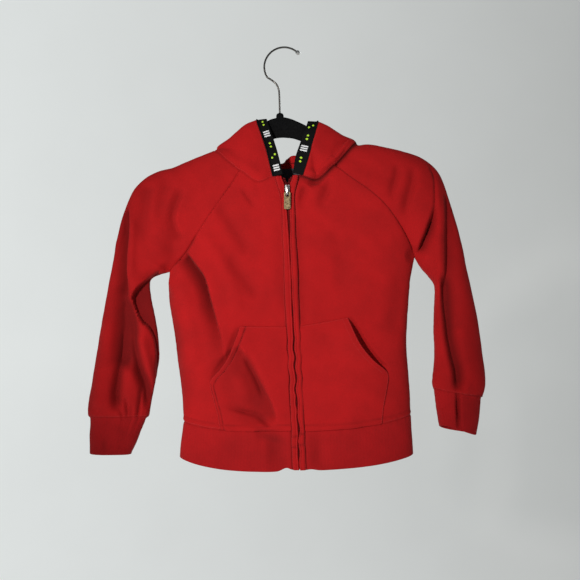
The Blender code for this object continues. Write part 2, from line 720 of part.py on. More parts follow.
def hook():
    cx, cz = HOOK_MIDDLE
    start, stop, steps = math.radians(52), math.radians(213), 20
    path = [(cx + HOOK_RADIUS * math.cos(mix(start, stop, k / steps)),
             cz + HOOK_RADIUS * math.sin(mix(start, stop, k / steps)))
            for k in range(steps + 1)]
    crown = place((HANGER_X, 0, 97)) * 1000
    path += [(-17.5, -45.5), (-12.5, -49.5), (-9.0, -54.0), (-7.0, -60.0), (-6.2, -68.0),
             (crown.x, crown.z + 0.4)]
    points, faces = tube(path, [HOOK_WIRE] * len(path))
    make("hanger_hook", points, faces, "hook_metal", placed=True)
    ax, az = math.sin(start), -math.cos(start)
    x, z = path[0]
    bulb = [(0.35, 1.5), (0.8, 2.2), (1.9, 2.8), (3.4, 3.1), (5.0, 2.8), (6.1, 2.0),
            (6.7, 0.8)]
    points, faces = tube([(x + ax * d, z + az * d) for d, _ in bulb], [r for _, r in bulb])
    make("hook_tip", points, faces, "slider_silver", placed=True)


def slider():
    """Slider in front of the zip, its bridge joined to it, and the pull tab."""
    base = place((ZIP_X, 0, 0)) * 1000
    x0, z0 = base.x + 0.5, base.z
    plates = []
    for z, half, front in ((-4.0, 2.4, -26.2), (-4.8, 3.2, -27.0), (-11.0, 3.2, -27.2),
                           (-18.2, 2.7, -27.0), (-19.0, 2.2, -26.2)):
        h, b = z0 + z, -21.9
        c = 0.6
        plates.append([(x0 - half + c, front, h), (x0 + half - c, front, h),
                       (x0 + half, front + c, h), (x0 + half, b, h), (x0 - half, b, h),
                       (x0 - half, front + c, h)])
    body = make("zip_slider", *rings(plates), "slider_silver", placed=True)
    profile = ((-5.4, -26.9), (-5.8, -30.6), (-7.4, -31.8), (-17.4, -31.8), (-18.4, -30.8),
               (-18.6, -26.9), (-17.3, -26.9), (-17.2, -30.5), (-8.0, -30.5), (-7.0, -26.9))
    loops = [[(x0 + x, y, z0 + z) for z, y in profile] for x in (-1.1, 1.1)]
    form = make("slider_bridge_form", *rings(loops), "slider_silver", placed=True)
    home = form.users_collection[0]
    home.hide_render = True
    form.hide_render, form.display_type = True, 'WIRE'
    join = body.modifiers.new("bridge", 'BOOLEAN')
    join.operation, join.solver, join.object = 'UNION', 'EXACT', form

    outer = ((-4.1, -14.6), (4.1, -14.6), (4.4, -15.4), (4.4, -21.0), (4.4, -36.2),
             (3.0, -38.0), (-3.0, -38.0), (-4.4, -36.2), (-4.4, -21.0), (-4.4, -15.4))
    inner = ((-2.0, -16.2), (2.0, -16.2), (2.6, -16.7), (2.6, -19.6), (2.0, -20.6),
             (0.8, -20.8), (-0.8, -20.8), (-2.0, -20.6), (-2.6, -19.6), (-2.6, -16.7))
    count, points, faces = len(outer), [], []
    for y in (-29.6, -28.0):
        for loop in (outer, inner):
            points += [(x0 + x, y, z0 + z) for x, z in loop]
    for j in range(count):
        k = (j + 1) % count
        faces += [(j, k, k + count, j + count),
                  (j + 2 * count, j + 3 * count, k + 3 * count, k + 2 * count),
                  (j, j + 2 * count, k + 2 * count, k),
                  (j + count, k + count, k + 3 * count, j + 3 * count)]
    make("zip_pull", points, faces, "pull_brass", placed=True)
    print("pull hinge", (x0, -28.8, z0 - 15.4))


def main():
    for old in list(bpy.data.objects):
        bpy.data.objects.remove(old)
    fronts = {side: front_rows(side) for side in (RIGHT, LEFT)}
    back = back_rows()
    sleeves = {side: sleeve_rows(side) for side in (RIGHT, LEFT)}
    hem = hem_rows(fronts, back)
    cloth, slots = Cloth(), {}

    def add(name, rows, slot="fleece_red", **more):
        cloth.add(name, rows, **more)
        slots[name] = slot

    words = {RIGHT: "right", LEFT: "left"}
    hoods = {}
    for side, word in words.items():
        add("front_" + word, fronts[side], flip=side == LEFT)
        add("sleeve_" + word, sleeves[side], flip=side == LEFT)
        add("cuff_" + word, cuff_rows(side, sleeves[side][-1]), "rib_red",
            flip=side == LEFT)
        add("placket_" + word, strip_rows(side, fronts[side], hem), flip=side == LEFT)
        add("pocket_" + word, pocket_rows(side), flip=side == LEFT)
        half = back[0][:BACK_COLS + 1] if side == RIGHT else back[0][BACK_COLS:][::-1]
        neck = [fronts[side][0][j] for j in HOOD_FRONT]
        neck += [sleeves[side][0][j] for j in HOOD_SHOULDER[1:]]
        neck += [half[BACK_COLS - j] for j in HOOD_NAPE[-2::-1]]
        hoods[side] = hood_rows(side, neck)
        add("hood_" + word, hoods[side][::-1], flip=side == LEFT)
    add("back", back)
    add("hem_band", hem, "rib_red")
    add("hood_tape", tape_rows(hoods), "tape_black", wall=TAPE_WALL)

    patch = [[(x, body_depth(x, z, 1) - WALL - 0.5, z) for x in (-24, -12, 0.001, 12, 25)]
             for z in (24, 14, 4, -8)]
    add("neck_patch", patch, "patch_grey", flip=True, wall=1.0)
    chain = []
    for k in range(27):
        z = mix(6, -388, k / 26)
        chain.append([(ZIP_X + x, body_depth(ZIP_X + x, z, -1) + WALL / 2 + 1.0, z)
                      for x in (-6, -1.5, 1.5, 6)])
    add("zip_chain", chain, "zip_red", wall=1.0)

    for name, slot in slots.items():
        make(name, *cloth.build(name), slot)
    hanger_body()
    hook()
    slider()


main()
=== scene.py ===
import math
import random

import bpy
import numpy as np
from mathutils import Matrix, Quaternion, Vector


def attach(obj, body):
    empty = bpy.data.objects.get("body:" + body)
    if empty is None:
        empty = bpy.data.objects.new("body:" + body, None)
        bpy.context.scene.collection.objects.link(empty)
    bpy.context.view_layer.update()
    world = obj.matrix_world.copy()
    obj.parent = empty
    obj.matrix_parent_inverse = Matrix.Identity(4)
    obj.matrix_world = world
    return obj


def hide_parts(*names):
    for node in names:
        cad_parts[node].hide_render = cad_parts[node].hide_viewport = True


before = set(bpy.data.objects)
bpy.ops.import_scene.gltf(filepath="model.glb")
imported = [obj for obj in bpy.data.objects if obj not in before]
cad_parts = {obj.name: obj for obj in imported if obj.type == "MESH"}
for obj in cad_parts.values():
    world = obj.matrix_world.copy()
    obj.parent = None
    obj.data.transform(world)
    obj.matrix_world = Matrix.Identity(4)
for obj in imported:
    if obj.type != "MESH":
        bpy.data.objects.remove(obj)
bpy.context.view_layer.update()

FINE = 12         # grid steps to each row of the CAD's tables

# ---------------------------------------------------------------- sizes, in mm
# The jacket's own frame: x across, y front to back, z up, 0 at the top of the zip.
LEAN = math.radians(2.6)
ZIP_TOP = (4.4, -192.1)
WALL, TAPE_WALL = 2.0, 1.5
ZIP_X, STRIP = 1.5, 9.0
RIGHT, LEFT = -1, 1                    # the wearer's sides
FRONT, BACK, HOOD = -1, 1, 2           # layers of the folds; HOOD is its part behind
DEEPEST = 13                           # the most that folds push a layer in
SEWN_GAP = 0.05                        # sewn pieces stop this far short of their seam
MEET = 0.2                             # points this close along a seam are one point
WORD = {RIGHT: "right", LEFT: "left"}
RAGLAN_ROWS, BODY_ROWS, SLEEVE_ROWS, ARM_COLS = 8, 9, 9, 18
FRONT_STEPS = (0.0, 0.17, 0.33, 0.48, 0.61, 0.72, 0.81, 0.885, 0.94, 0.98, 1.0)
HOOD_FRONT = {RIGHT: (0.36, 4, 7, 10), LEFT: (0.58, 4, 7, 10)}
HOOD_SHOULDER = (0, 3, 6, 8, 9, 10, 12, 15, 18)
HOOD_NAPE = (0, 3, 6, 8)

# height, front depth, back depth at the middle of the body
DEPTH = ((60, 19, 13), (31, 20, 14), (9, 21, 16), (-30, 24, 19), (-70, 27, 22),
         (-113, 30, 25), (-200, 33, 28), (-334, 35, 31), (-392, 34, 31))
# raglan seam, front and back: half width, height, depth
RAGLAN = {
    RIGHT: ((63, 20, 17), (79, -3, 19), (97, -26, 20), (114, -49, 19), (131, -73, 16),
            (149, -95, 8), (168, -113, 0)),
    LEFT: ((68, 22, 17), (88, 3, 19), (110, -14, 21), (130, -34, 21), (146, -57, 18),
           (160, -82, 9), (170, -108, 0))}
RAGLAN_BACK = {
    RIGHT: ((58, 36, 9), (77, 12, 13), (97, -14, 16), (116, -41, 17), (134, -67, 15),
            (152, -91, 7.5), (168, -113, 0)),
    LEFT: ((58, 36, 9), (79, 13, 13), (100, -11, 16), (120, -36, 17), (138, -62, 14),
           (155, -86, 7), (170, -108, 0))}
# shoulder outline: half width, height, front bulge, back bulge
SHOULDER = {
    RIGHT: ((98, 52, 14, 12), (127, 42, 15, 13), (157, 31, 17, 15), (187, 24, 19, 17),
            (213, 4, 20, 18), (230, -30, 20, 18), (242, -70, 20, 18)),
    LEFT: ((98, 53, 14, 12), (128, 46, 15, 13), (158, 37, 17, 15), (187, 25, 19, 17),
           (209, 4, 20, 18), (221, -34, 20, 18), (230, -72, 20, 18))}
# sleeve: outer x, z, inner x, z, front bulge, back bulge
SLEEVE = {
    RIGHT: ((242, -70, 168, -113, 20, 18), (247, -95, 184, -116, 20, 18),
            (252, -119, 197, -124, 19, 18), (258, -146, 197, -147, 18, 18),
            (265, -174, 193, -174, 18, 18), (272, -205, 190, -205, 19, 18),
            (279, -239, 190, -233, 20, 18), (285, -270, 195, -261, 21, 18),
            (290, -294, 202, -290, 20, 17), (291, -309, 207, -312, 17, 15)),
    LEFT: ((230, -72, 170, -108, 20, 18), (235, -97, 179, -124, 20, 18),
           (239, -122, 188, -136, 20, 18), (244, -151, 196, -151, 20, 18),
           (248, -180, 195, -180, 20, 18), (252, -212, 193, -210, 20, 18),
           (255, -240, 192, -239, 20, 18), (257, -268, 189, -264, 20, 17),
           (256, -289, 187, -281, 18, 15), (252, -304, 188, -290, 16, 14))}
# cuff: outer x, z, inner x, z, front, back
CUFF = {
    RIGHT: ((288, -313, 212, -316, 16, 15), (290, -338, 224, -341, 16, 15),
            (291, -361, 235, -364, 15, 14)),
    LEFT: ((250, -306, 189, -293, 15, 14), (247, -331, 191, -318, 15, 14),
           (241, -355, 194, -341, 14, 13))}
# side seam: height, half width
SIDE = {
    RIGHT: ((-113, 168), (-141, 170), (-181, 167), (-220, 163), (-259, 159), (-298, 157),
            (-320, 156)),
    LEFT: ((-108, 170), (-127, 165), (-147, 161), (-199, 155), (-231, 153), (-262, 153),
           (-293, 154), (-323, 154))}
# hem band: half width at the side, height at the side and at the middle
HEM = {RIGHT: ((156, -320, -334.5), (160, -344, -362), (164, -369, -389.5)),
       LEFT: ((154, -323, -336), (153.5, -350, -363), (154, -377, -389.5))}
# pocket's outer edge: height, half width
POCKET = {
    RIGHT: ((-193, 70), (-211, 77), (-230, 86), (-249, 99), (-267, 115), (-289, 112),
            (-311, 107), (-333, 103)),
    LEFT: ((-188, 75), (-207, 84), (-227, 95), (-247, 109), (-265, 125), (-288, 122),
           (-310, 117), (-332, 113))}
POCKET_TOP = -196
SEAMS = {FRONT: RAGLAN, BACK: RAGLAN_BACK}
# heights on the middle line: neck in front and behind, underarms, hem seam behind
NECK_FRONT, NECK_BACK, UNDERARMS, BACK_FOOT = 9, 31, -122, -332
PIT_ROW, PIT_REACH = 6, 16             # where the cloth flattens towards the underarm
POCKET_GAPE = {RIGHT: 4.0, LEFT: 8.5}

# Folds by side and layer: kind, two sizes, depth in, then the line they follow.
# A row with no kind is a trough: half widths outside and inside the line. gash: the same,
# with steep sides. ledge: half width of the step, then how far the drop reaches; it drops
# outside a line that runs down, and inside one that runs up. drag: a ledge that fades along
# its line. tuck: one that grows along it. A depth below 0 is a ridge.
FOLDS = {
    (RIGHT, FRONT): (
        # viewer's left sleeve: front flap over the outer lobe, and what hangs from it
        ("ledge", 1.8, 15, 13, (222, -16), (220, -36), (220, -54), (222, -73), (224, -92),
         (225, -110), (225, -129), (226, -150)),
        (5, 5, -2.5, (215, -30), (215, -60), (217, -90), (218, -122)),
        (12, 12, -3.5, (252, -170), (260, -215), (268, -260), (271, -300)),
        (13, 9, 12, (229, -112), (232, -150), (235, -182), (237, -206), (238, -226), (239, -246)),
        (6, 9, 12, (231, -176), (235, -208), (240, -234), (245, -260), (248, -280), (247, -304)),
        (6, 9, 14, (226, -146), (221, -186), (221, -212), (218, -234), (213, -254), (206, -276),
         (205, -304)),
        (10, 10, 13, (227, -140), (228, -180), (229, -215), (231, -250)),
        (7, 6, -3, (212, -192), (206, -220), (199, -245), (196, -270)),
        # its recess, seen past the flap's edge
        ("ledge", 1.3, 36, 19, (203, -294), (196, -273), (194, -254), (192, -226), (194, -204),
         (200, -190), (210, -180), (216, -165), (220, -150), (218, -141), (208, -130), (194, -119),
         (181, -110)),
        (4, 4, -2, (214, -138), (202, -128), (188, -117)),
        # gathers at its cuff
        (3, 4, 3, (247, -294), (241, -304), (238, -322)),
        (3, 3, 4.5, (238, -272), (233, -296), (235, -322)),
        (4, 3, 3, (226, -290), (228, -306), (230, -322)),
        (3, 3, 5, (211, -258), (215, -288), (222, -322)),
        (5, 4, 4, (267, -338), (266, -348), (266, -361)),
        (6, 8, 2, (246, -318), (242, -332), (236, -346)),
        # its shoulder
        (10, 9, 4, (192, 12), (194, -8), (198, -34), (202, -78)),
        ("ledge", 4.5, 12, 6.5, (138, 2), (150, -22), (155, -40), (151, -58), (142, -74)),
        (9, 9, 3.2, (160, 22), (167, 0), (173, -24), (176, -48)),
        (12, 10, 3.5, (150, -50), (160, -76), (158, -104)),
        # the body under that arm, the chest and the pocket
        ("drag", 2.4, 13, 18, (143, -85), (128, -106), (116, -125), (109, -154), (102, -183),
         (96, -210), (92, -240), (90, -262)),
        (14, 13, -5, (154, -122), (147, -165), (140, -210), (142, -255)),
        (10, 10, 3.2, (96, -17), (73, -57), (52, -98)),
        (9, 9, 3.2, (84, -93), (63, -124), (41, -159)),
        (4, 5, 2.2, (63, -2), (42, -34)),
        (9, 9, -2, (120, -60), (96, -96), (78, -140), (70, -180)),
        ("ledge", 3.5, 48, 9, (74, -216), (58, -246), (45, -270), (33, -296), (26, -324)),
        (5, 7, 9, (68, -228), (60, -248), (50, -271), (40, -300)),
        ("gash", 2.5, 4.5, 4.5, (124, -62), (136, -80), (149, -96), (162, -108)),
        (10, 10, -3, (80, -250), (70, -275), (58, -296)),
        (12, 14, 6, (44, -330), (34, -352), (24, -372), (20, -394)),
        (30, 22, 3, (98, -338), (68, -358), (36, -370)),
        (3.5, 7, 8, (102, -298), (72, -308), (54, -314), (42, -323), (30, -330)),
        (6, 9, 8, (60, -337), (36, -344), (8, -354)),
        (12, 12, 2.5, (92, -262), (84, -290), (70, -312)),
        # beside the zip
        (8, 4, 1.3, (9, -50), (9, -110), (9, -180)),
    ),
    (LEFT, FRONT): (
        # on the hem band
        (8, 12, 4, (34, -334), (29, -358), (20, -392)),
        # viewer's right arm: the shoulder's front ends in an edge, the arm hangs behind it
        ("ledge", 1.6, 7, 4, (192, 18), (199, -3), (199, -22), (197, -50)),
        ("tuck", 3, 10, 17, (199, -28), (197, -46), (189, -68), (181, -86), (172, -107)),
        (5, 5, -3, (204, 4), (204, -41), (203, -78), (201, -116), (199, -180)),
        (13, 3, 5, (214, -60), (212, -100), (209, -150), (208, -205)),
        ("ledge", 2.2, 17, 7, (214, -24), (213, -50), (211, -85), (209, -120), (207, -160),
         (207, -190), (209, -215)),
        (9, 6, 15, (209, -130), (208, -170), (210, -216), (214, -245), (218, -267), (219, -296)),
        ("gash", 5, 5, 8, (219, -290), (217, -308), (217, -326), (218, -352)),
        (6, 6, -2.5, (227, -276), (229, -290), (231, -300)),
        (6, 7, 5, (174, 16), (171, -8), (164, -30), (158, -56)),
        (6, 6, 4.5, (152, 22), (151, 6), (146, -10), (140, -32)),
        # beside the neck, down the chest and on the hem band
        (6, 8, 4.5, (63, 6), (54, -17), (42, -38)),
        (6, 6, 7, (58, 14), (47, 7), (38, -1), (29, -9)),
        (6, 6, 4, (28, -4), (24, -16), (16, -38)),
        (12, 12, 2, (150, -120), (142, -170), (130, -215)),
        (9, 4, 2.4, (13, -40), (14, -100), (14, -150), (14, -205)),
        (12, 12, 1.8, (60, -60), (70, -110), (66, -160)),
        (7, 7, 1.8, (20, -343), (44, -348), (66, -344)),
    ),
    (RIGHT, BACK): (
        # the back, with like folds where the arms leave the body
        ("drag", 2.6, 18, 9, (148, -86), (126, -112), (108, -146), (98, -196), (96, -240)),
        (10, 14, 5, (126, -132), (98, -200), (72, -258), (60, -300)),
        ("drag", 5, 14, 10, (218, -62), (222, -104), (228, -150), (234, -198), (242, -240),
         (246, -276)),
        (6, 8, 8, (220, -158), (213, -198), (216, -240), (224, -282)),
        (5, 8, 5, (190, -122), (210, -142), (230, -156), (248, -162)),
        (7, 7, 4, (142, -14), (153, -31), (155, -52), (147, -70)),
        (18, 18, 4, (20, -210), (34, -260), (26, -310)),
        (12, 12, -3, (58, -214), (44, -262), (44, -308)),
        (5, 7, 4, (104, -288), (84, -310), (56, -322)),
        (3, 4, 4, (258, -270), (252, -292), (250, -312)),
        (4, 3, 5, (236, -262), (240, -290), (238, -322)),
        (3, 3, 3, (224, -286), (228, -304), (229, -318)),
    ),
    (LEFT, BACK): (
        # the back, with like folds where the arms leave the body
        ("drag", 2.6, 16, 10, (150, -84), (130, -108), (112, -140), (104, -180), (106, -214)),
        (12, 10, 5, (130, -124), (112, -190), (96, -244), (90, -302)),
        ("drag", 4, 11, 10, (208, -56), (212, -100), (213, -140), (217, -190), (224, -240)),
        (7, 5, 7, (226, -150), (220, -190), (211, -224), (209, -266)),
        (4, 6, 4.5, (188, -118), (203, -131), (222, -136), (238, -130)),
        (7, 7, 4, (168, 8), (160, -22), (156, -50)),
        (14, 16, 4, (30, -200), (44, -240), (40, -300)),
        (6, 5, 4, (120, -284), (94, -305), (64, -316)),
        (3, 4, 4, (224, -262), (226, -286), (222, -314)),
        (3, 3, 3, (204, -258), (209, -280), (213, -300)),
    ),
    (RIGHT, HOOD): (
        # the part of the hood that hangs behind
        (9, 12, 5, (58, 34), (66, -4), (62, -46), (48, -82)),
        (6, 13, 5, (84, -66), (72, -112), (52, -142), (24, -160)),
        (7, 7, 3.5, (14, -106), (22, -130), (16, -160)),
    ),
    (LEFT, HOOD): (
        # the part of the hood that hangs behind
        (12, 8, 5, (66, 38), (74, -10), (66, -62), (50, -108)),
        (7, 9, 4, (34, -110), (46, -127), (62, -134), (80, -128)),
        (6, 6, 3, (86, -116), (74, -146), (56, -170)),
    ),
}

# hood from neck seam to fallen crown: half width, y, height at seven places
HOOD_RISE = {
    RIGHT: ((25, -16, 48), (38, -18, 46), (64, -14, 47), (95, 2, 54), (81, 8, 46),
            (42, 15, 39), (0, 16, 38)),
    LEFT: ((35, -16, 46), (47, -18, 44), (68, -14, 46), (96.5, 2, 54.5), (81, 8, 45),
           (42, 15, 39), (0, 16, 38))}
HOOD_BROW = {
    RIGHT: ((36, -6.5, 86), (54, -7, 79), (75, -6, 65), (95, 4, 57), (80, 9.5, 48.5),
            (41, 17, 41.5), (0, 18, 41)),
    LEFT: ((45, -6.5, 79), (59, -7, 72.5), (78, -6, 60.5), (96, 4, 56), (80, 9.5, 48),
           (41, 17, 41.5), (0, 18, 41))}
HOOD_TOP = {
    RIGHT: ((37, 0, 91), (57, 1, 83.5), (77, 4, 69.5), (94.5, 8, 56), (79, 13, 48.5),
            (41, 20, 42), (0, 20.5, 42)),
    LEFT: ((46, 0, 84.5), (61, 1, 77), (80, 4, 64), (95.5, 8, 55.5), (79, 13, 48),
           (41, 20, 42), (0, 20.5, 42))}
HOOD_BEHIND = {
    RIGHT: ((37.5, 7, 86), (59, 12, 78.5), (80, 17, 62), (94, 14, 51), (80, 17, 43),
            (41, 24, 37), (0, 24.5, 37)),
    LEFT: ((45.5, 7, 79), (62, 12, 72), (82, 17, 58.5), (95, 14, 51), (80, 17, 43),
           (41, 24, 37), (0, 24.5, 37))}
HOOD_BACK = ((37, 31, 42), (62, 35, 34), (86, 33, 12), (96.5, 26, 0), (86, 20.5, 8),
             (46, 25.5, 8), (0, 26.5, 5))
HOOD_SAG = ((38.5, 41, -20), (66, 45, -45), (90, 42, -70), (94.5, 34, -86), (82, 30, -96),
            (45, 32, -100), (0, 32.5, -100))
HOOD_CROWN = ((39, 45, -48), (60, 53, -112), (76, 51, -152), (80, 45, -170), (68, 41, -184),
              (39, 40.5, -196), (0, 41, -204))
HOOD_LIFT = ((38.5, 47, -66), (48, 56, -110), (53, 59, -138), (51, 59, -151), (42, 58, -162),
             (24, 57, -171), (0, 57, -175))
HOOD_EDGE = ((36, 49, -80), (33.5, 51, -86), (29, 52, -91), (23, 53, -95), (16, 54, -98),
             (8, 54.5, -99), (0, 54.5, -99.5))
HOOD_PLACES = (0, 0.65, 1.35, 2, 2.35, 2.7, 2.9, 3, 3.1, 3.5, 4.35, 4.65, 5.1, 5.55, 6)
TAPE_WIDTH = 13.5

HANGER_X = -5.5
HANGER = {
    RIGHT: ((0, 94.5, 65.5), (7, 93.5, 65), (16, 91, 63), (31, 82, 58), (52, 69, 51)),
    LEFT: ((0, 94.5, 65.5), (7, 93.8, 65), (18, 90, 63), (36, 80.5, 56), (56, 68, 50))}
HANGER_TIP = {RIGHT: 191, LEFT: 187}
HANGER_THICK = 6.0
HOOK_WIRE, HOOK_RADIUS = 1.3, 27.3


# ---------------------------------------------------------------- tables and frame

def place(points):
    """Points of the jacket's frame, in metres in the finished frame."""
    points = np.asarray(points, float)
    x, y, z = points[..., 0], points[..., 1], points[..., 2]
    sway = 1.2 * smooth((-170 - z) / 80) * waves(0 * z, z, 27, 41) * smooth((-3 - y) / 5)
    x = x + sway * bell(x - ZIP_X, 15)                         # the zip's foot wavers
    c, s = math.cos(LEAN), math.sin(LEAN)
    return np.stack((ZIP_TOP[0] + x * c - z * s, y, ZIP_TOP[1] + z * c + x * s), -1) * 0.001


def run(rows, t):
    """Smooth rows of a table at places t from 0 to 1, its rows evenly spaced."""
    rows = np.asarray(rows, float)
    last = len(rows) - 1
    f = np.clip(np.asarray(t, float), 0, 1) * last
    i = np.minimum(f.astype(int), last - 1)
    u = (f - i).reshape(f.shape + (1,) * (rows.ndim - 1))
    p, q, r, s = rows[np.maximum(i - 1, 0)], rows[i], rows[i + 1], rows[np.minimum(i + 2, last)]
    return 0.5 * (2 * q + (r - p) * u + (2 * p - 5 * q + 4 * r - s) * u * u
                  + (3 * q - p - 3 * r + s) * u ** 3)


def level(rows, z):
    """Smooth columns of a table whose first column falls, read at heights z."""
    rows = np.asarray(rows, float)
    last = len(rows) - 1
    z = np.clip(z, rows[-1, 0], rows[0, 0])
    i = np.minimum(np.searchsorted(-rows[1:, 0], -z, side="left"), last - 1)
    k = np.arange(last + 1)
    a, b = rows[np.maximum(k - 1, 0)], rows[np.minimum(k + 1, last)]
    slope = (b - a) / (b[:, :1] - a[:, :1])
    span = (rows[i + 1, 0] - rows[i, 0])[..., None]
    u = (z[..., None] - rows[i, :1]) / span
    out = ((2 * u ** 3 - 3 * u * u + 1) * rows[i] + (u ** 3 - 2 * u * u + u) * slope[i] * span
           + (3 * u * u - 2 * u ** 3) * rows[i + 1] + (u ** 3 - u * u) * slope[i + 1] * span)
    return out[..., 1:]


def bell(d, width):
    """1 at distance 0, and fading over the width."""
    return np.exp(-(d / width) ** 2)


def smooth(t):
    """Soft step from 0 to 1."""
    t = np.clip(t, 0.0, 1.0)
    return t * t * (3 - 2 * t)


def mix(a, b, t):
    return a + (b - a) * t


def unit(v):
    """Vectors at length 1."""
    return v / np.maximum(np.linalg.norm(v, axis=-1), 1e-9)[..., None]


def steps_along(path):
    """Length along a path at each of its points."""
    return np.concatenate(([0], np.cumsum(np.linalg.norm(np.diff(path, axis=0), axis=1))))


def waves(x, z, size, seed, count=7):
    """Even, seeded unevenness of about the given size across, from -1 to 1."""
    rng = random.Random(seed)
    total = np.zeros(np.broadcast(x, z).shape)
    for _ in range(count):
        angle, phase = rng.uniform(0, math.tau), rng.uniform(0, math.tau)
        k = math.tau / (size * rng.uniform(0.7, 1.6))
        total += np.sin((x * math.cos(angle) + z * math.sin(angle)) * k + phase)
    return total / (count * 0.6)


# ---------------------------------------------------------------- form of the jacket

def beside(x, z, path):
    """Distance to a smooth line, the place along it from 0 to 1, and the side of it."""
    line = run(path, np.linspace(0, 1, 6 * (len(path) - 1) + 1))
    best = np.full(x.shape, 1e9)
    where, sign = np.zeros(x.shape), np.ones(x.shape)
    count = len(line) - 1
    for k in range(count):
        a, d = line[k], line[k + 1] - line[k]
        u = np.clip(((x - a[0]) * d[0] + (z - a[1]) * d[1]) / (d @ d), 0, 1)
        dx, dz = x - a[0] - d[0] * u, z - a[1] - d[1] * u
        away = np.hypot(dx, dz)
        near = away < best
        best[near] = away[near]
        where[near] = ((k + u) / count)[near]
        sign[near] = np.sign(d[0] * dz - d[1] * dx)[near]
    return best, where, sign


def fold(x, z, layer):
    """How far the folds push a layer inward at (x, z)."""
    total, ridges = np.zeros(x.shape), np.zeros(x.shape)
    for side in WORD:
        for row in FOLDS[side, layer]:
            kind, first, second, depth, *path = row if isinstance(row[0], str) else ("", *row)
            line, far = np.array(path), 2.2 * max(first, second) + 3
            low, high = line.min(0) - far, line.max(0) + far
            across = x * side
            on = (across > low[0]) & (across < high[0]) & (z > low[1]) & (z < high[1])
            if not on.any():
                continue
            away, where, sign = beside(across[on], z[on], path)
            soft = min(0.42, 22 / steps_along(line)[-1])
            fade_in = fade_out = soft
            width = np.where(sign > 0, first, second)
            if kind in ("ledge", "drag", "tuck"):
                fade_in = 0.6 if kind == "tuck" else soft * 0.7
                fade_out = 0.75 if kind == "drag" else soft * 0.7
                shape = smooth(0.5 + sign * away / (2 * first)) * bell(away, second)
            elif kind == "gash":
                shape = 1 - smooth((away / width - 0.25) / 0.75)
            else:
                shape = bell(away, width)
            shape = depth * shape * smooth(where / fade_in) * smooth((1 - where) / fade_out)
            if depth > 0:
                total[on] += shape ** 2
            else:
                ridges[on] += shape
    return np.sqrt(total) + ridges


def press(y, x, z, layer):
    """Depth y of a layer, let in by its folds, less where it is shallow."""
    give = np.minimum(1.0, np.abs(y) / 12.0)
    return y - layer * np.minimum(fold(x, z, layer) * give, np.abs(y) * 0.85)


def on_side(side, x):
    """Which of the points lie on one side of the zip."""
    return (x > ZIP_X) == (side == LEFT)


def body_depth(x, z, layer):
    """Depth y of the body's front or back at (x, z)."""
    x, z = np.broadcast_arrays(np.asarray(x, float), np.asarray(z, float))
    y = np.zeros(x.shape)
    for side in WORD:
        on = on_side(side, x)
        if not on.any():
            continue
        sx, sz, seam = np.abs(x[on]), z[on], SEAMS[layer][side]
        middle = level(DEPTH, sz)[..., 0 if layer == FRONT else 1]
        upper = level([(r[1], r[0], r[2]) for r in seam], sz)
        wide, edge = upper[..., 0], upper[..., 1]
        low, hem = sz <= seam[-1][1], sz <= HEM[side][0][1]
        wide = np.where(low, level(SIDE[side], sz)[..., 0], wide)
        wide = np.where(hem, level([(r[1], r[0]) for r in HEM[side]], sz)[..., 0], wide)
        edge = np.where(low, 0.0, edge)
        u = np.minimum(sx / wide, 1.0)
        power = mix(2.3, 3.0 if layer == FRONT else 2.6, smooth((30 - sz) / 80))
        y[on] = layer * mix(middle, edge, 1 - (1 - u ** power) ** (1 / power))
    return press(y, x, z, layer)


def rows_of(top, foot):
    """Grid rows between two rows of the tables."""
    return np.linspace(top, foot, (foot - top) * FINE + 1)


def body_edge(side, layer, k):
    """Outer edge of the front or back at rows k, from neck to hem seam."""
    seam = SEAMS[layer][side]
    up = run(seam, k / RAGLAN_ROWS)
    z = mix(seam[-1][1], HEM[side][0][1], (k - RAGLAN_ROWS) / BODY_ROWS)
    wide = level(SIDE[side], z)[..., 0]
    low = k > RAGLAN_ROWS
    return (side * np.where(low, wide, up[..., 0]), np.where(low, 0.0, layer * up[..., 2]),
            np.where(low, z, up[..., 1]))


def down(k, top, foot):
    """Heights at rows k in the middle of the body."""
    return np.where(k <= RAGLAN_ROWS, mix(top, UNDERARMS, k / RAGLAN_ROWS),
                    mix(UNDERARMS, foot, (k - RAGLAN_ROWS) / BODY_ROWS))


def splay(z):
    """How far the strips spread from the zip above its slider."""
    return 6.5 * smooth((z + 24) / 34)


def ease_pit(x, y, z, side):
    """Flattens the cloth towards the underarm point, where four pieces meet."""
    px, pz = RAGLAN[side][-1][:2]
    return y * mix(0.35, 1.0, smooth(np.hypot(np.abs(x) - px, z - pz) / PIT_REACH))


def closed(side, layer, x, z, k, s, edge):
    """Points of a front or half the back, closed on its outer edge."""
    y = np.where(s >= 1, edge, body_depth(x, z, layer))
    y = np.where((s < 1) & (k > PIT_ROW), ease_pit(x, y, z, side), y)
    return np.stack(np.broadcast_arrays(x, y, z), -1)


def front_grid(side, k, s):
    """Rows k from neck to hem seam, places s from the zip's strip to the outer edge."""
    k, s = k[:, None], s[None, :]
    ex, ey, ez = body_edge(side, FRONT, k)
    inner = down(k, NECK_FRONT, HEM[side][0][2])
    x = mix(ZIP_X + side * (STRIP + splay(inner)), ex, s)
    x = x + 0.8 * waves(0 * inner, inner, 42, 6 + side) * smooth(-inner / 25) * np.exp(-12 * s)
    z = mix(inner, ez, s ** mix(2, 3, k / (RAGLAN_ROWS + BODY_ROWS)))
    z = z - 9 * np.maximum(0, 1 - k / 4) ** 2 * np.sin(math.pi * s) ** 2
    return closed(side, FRONT, x, z, k, s, ey)


def back_half(side, k, s):
    """Rows k from neck to hem seam, places s from the middle of the back to its edge."""
    k, s = k[:, None], np.sin(math.pi / 2 * s[None, :])
    ex, ey, ez = body_edge(side, BACK, k)
    z = mix(down(k, NECK_BACK, BACK_FOOT), ez, s * s)
    return closed(side, BACK, ex * s, z, k, s, ey)


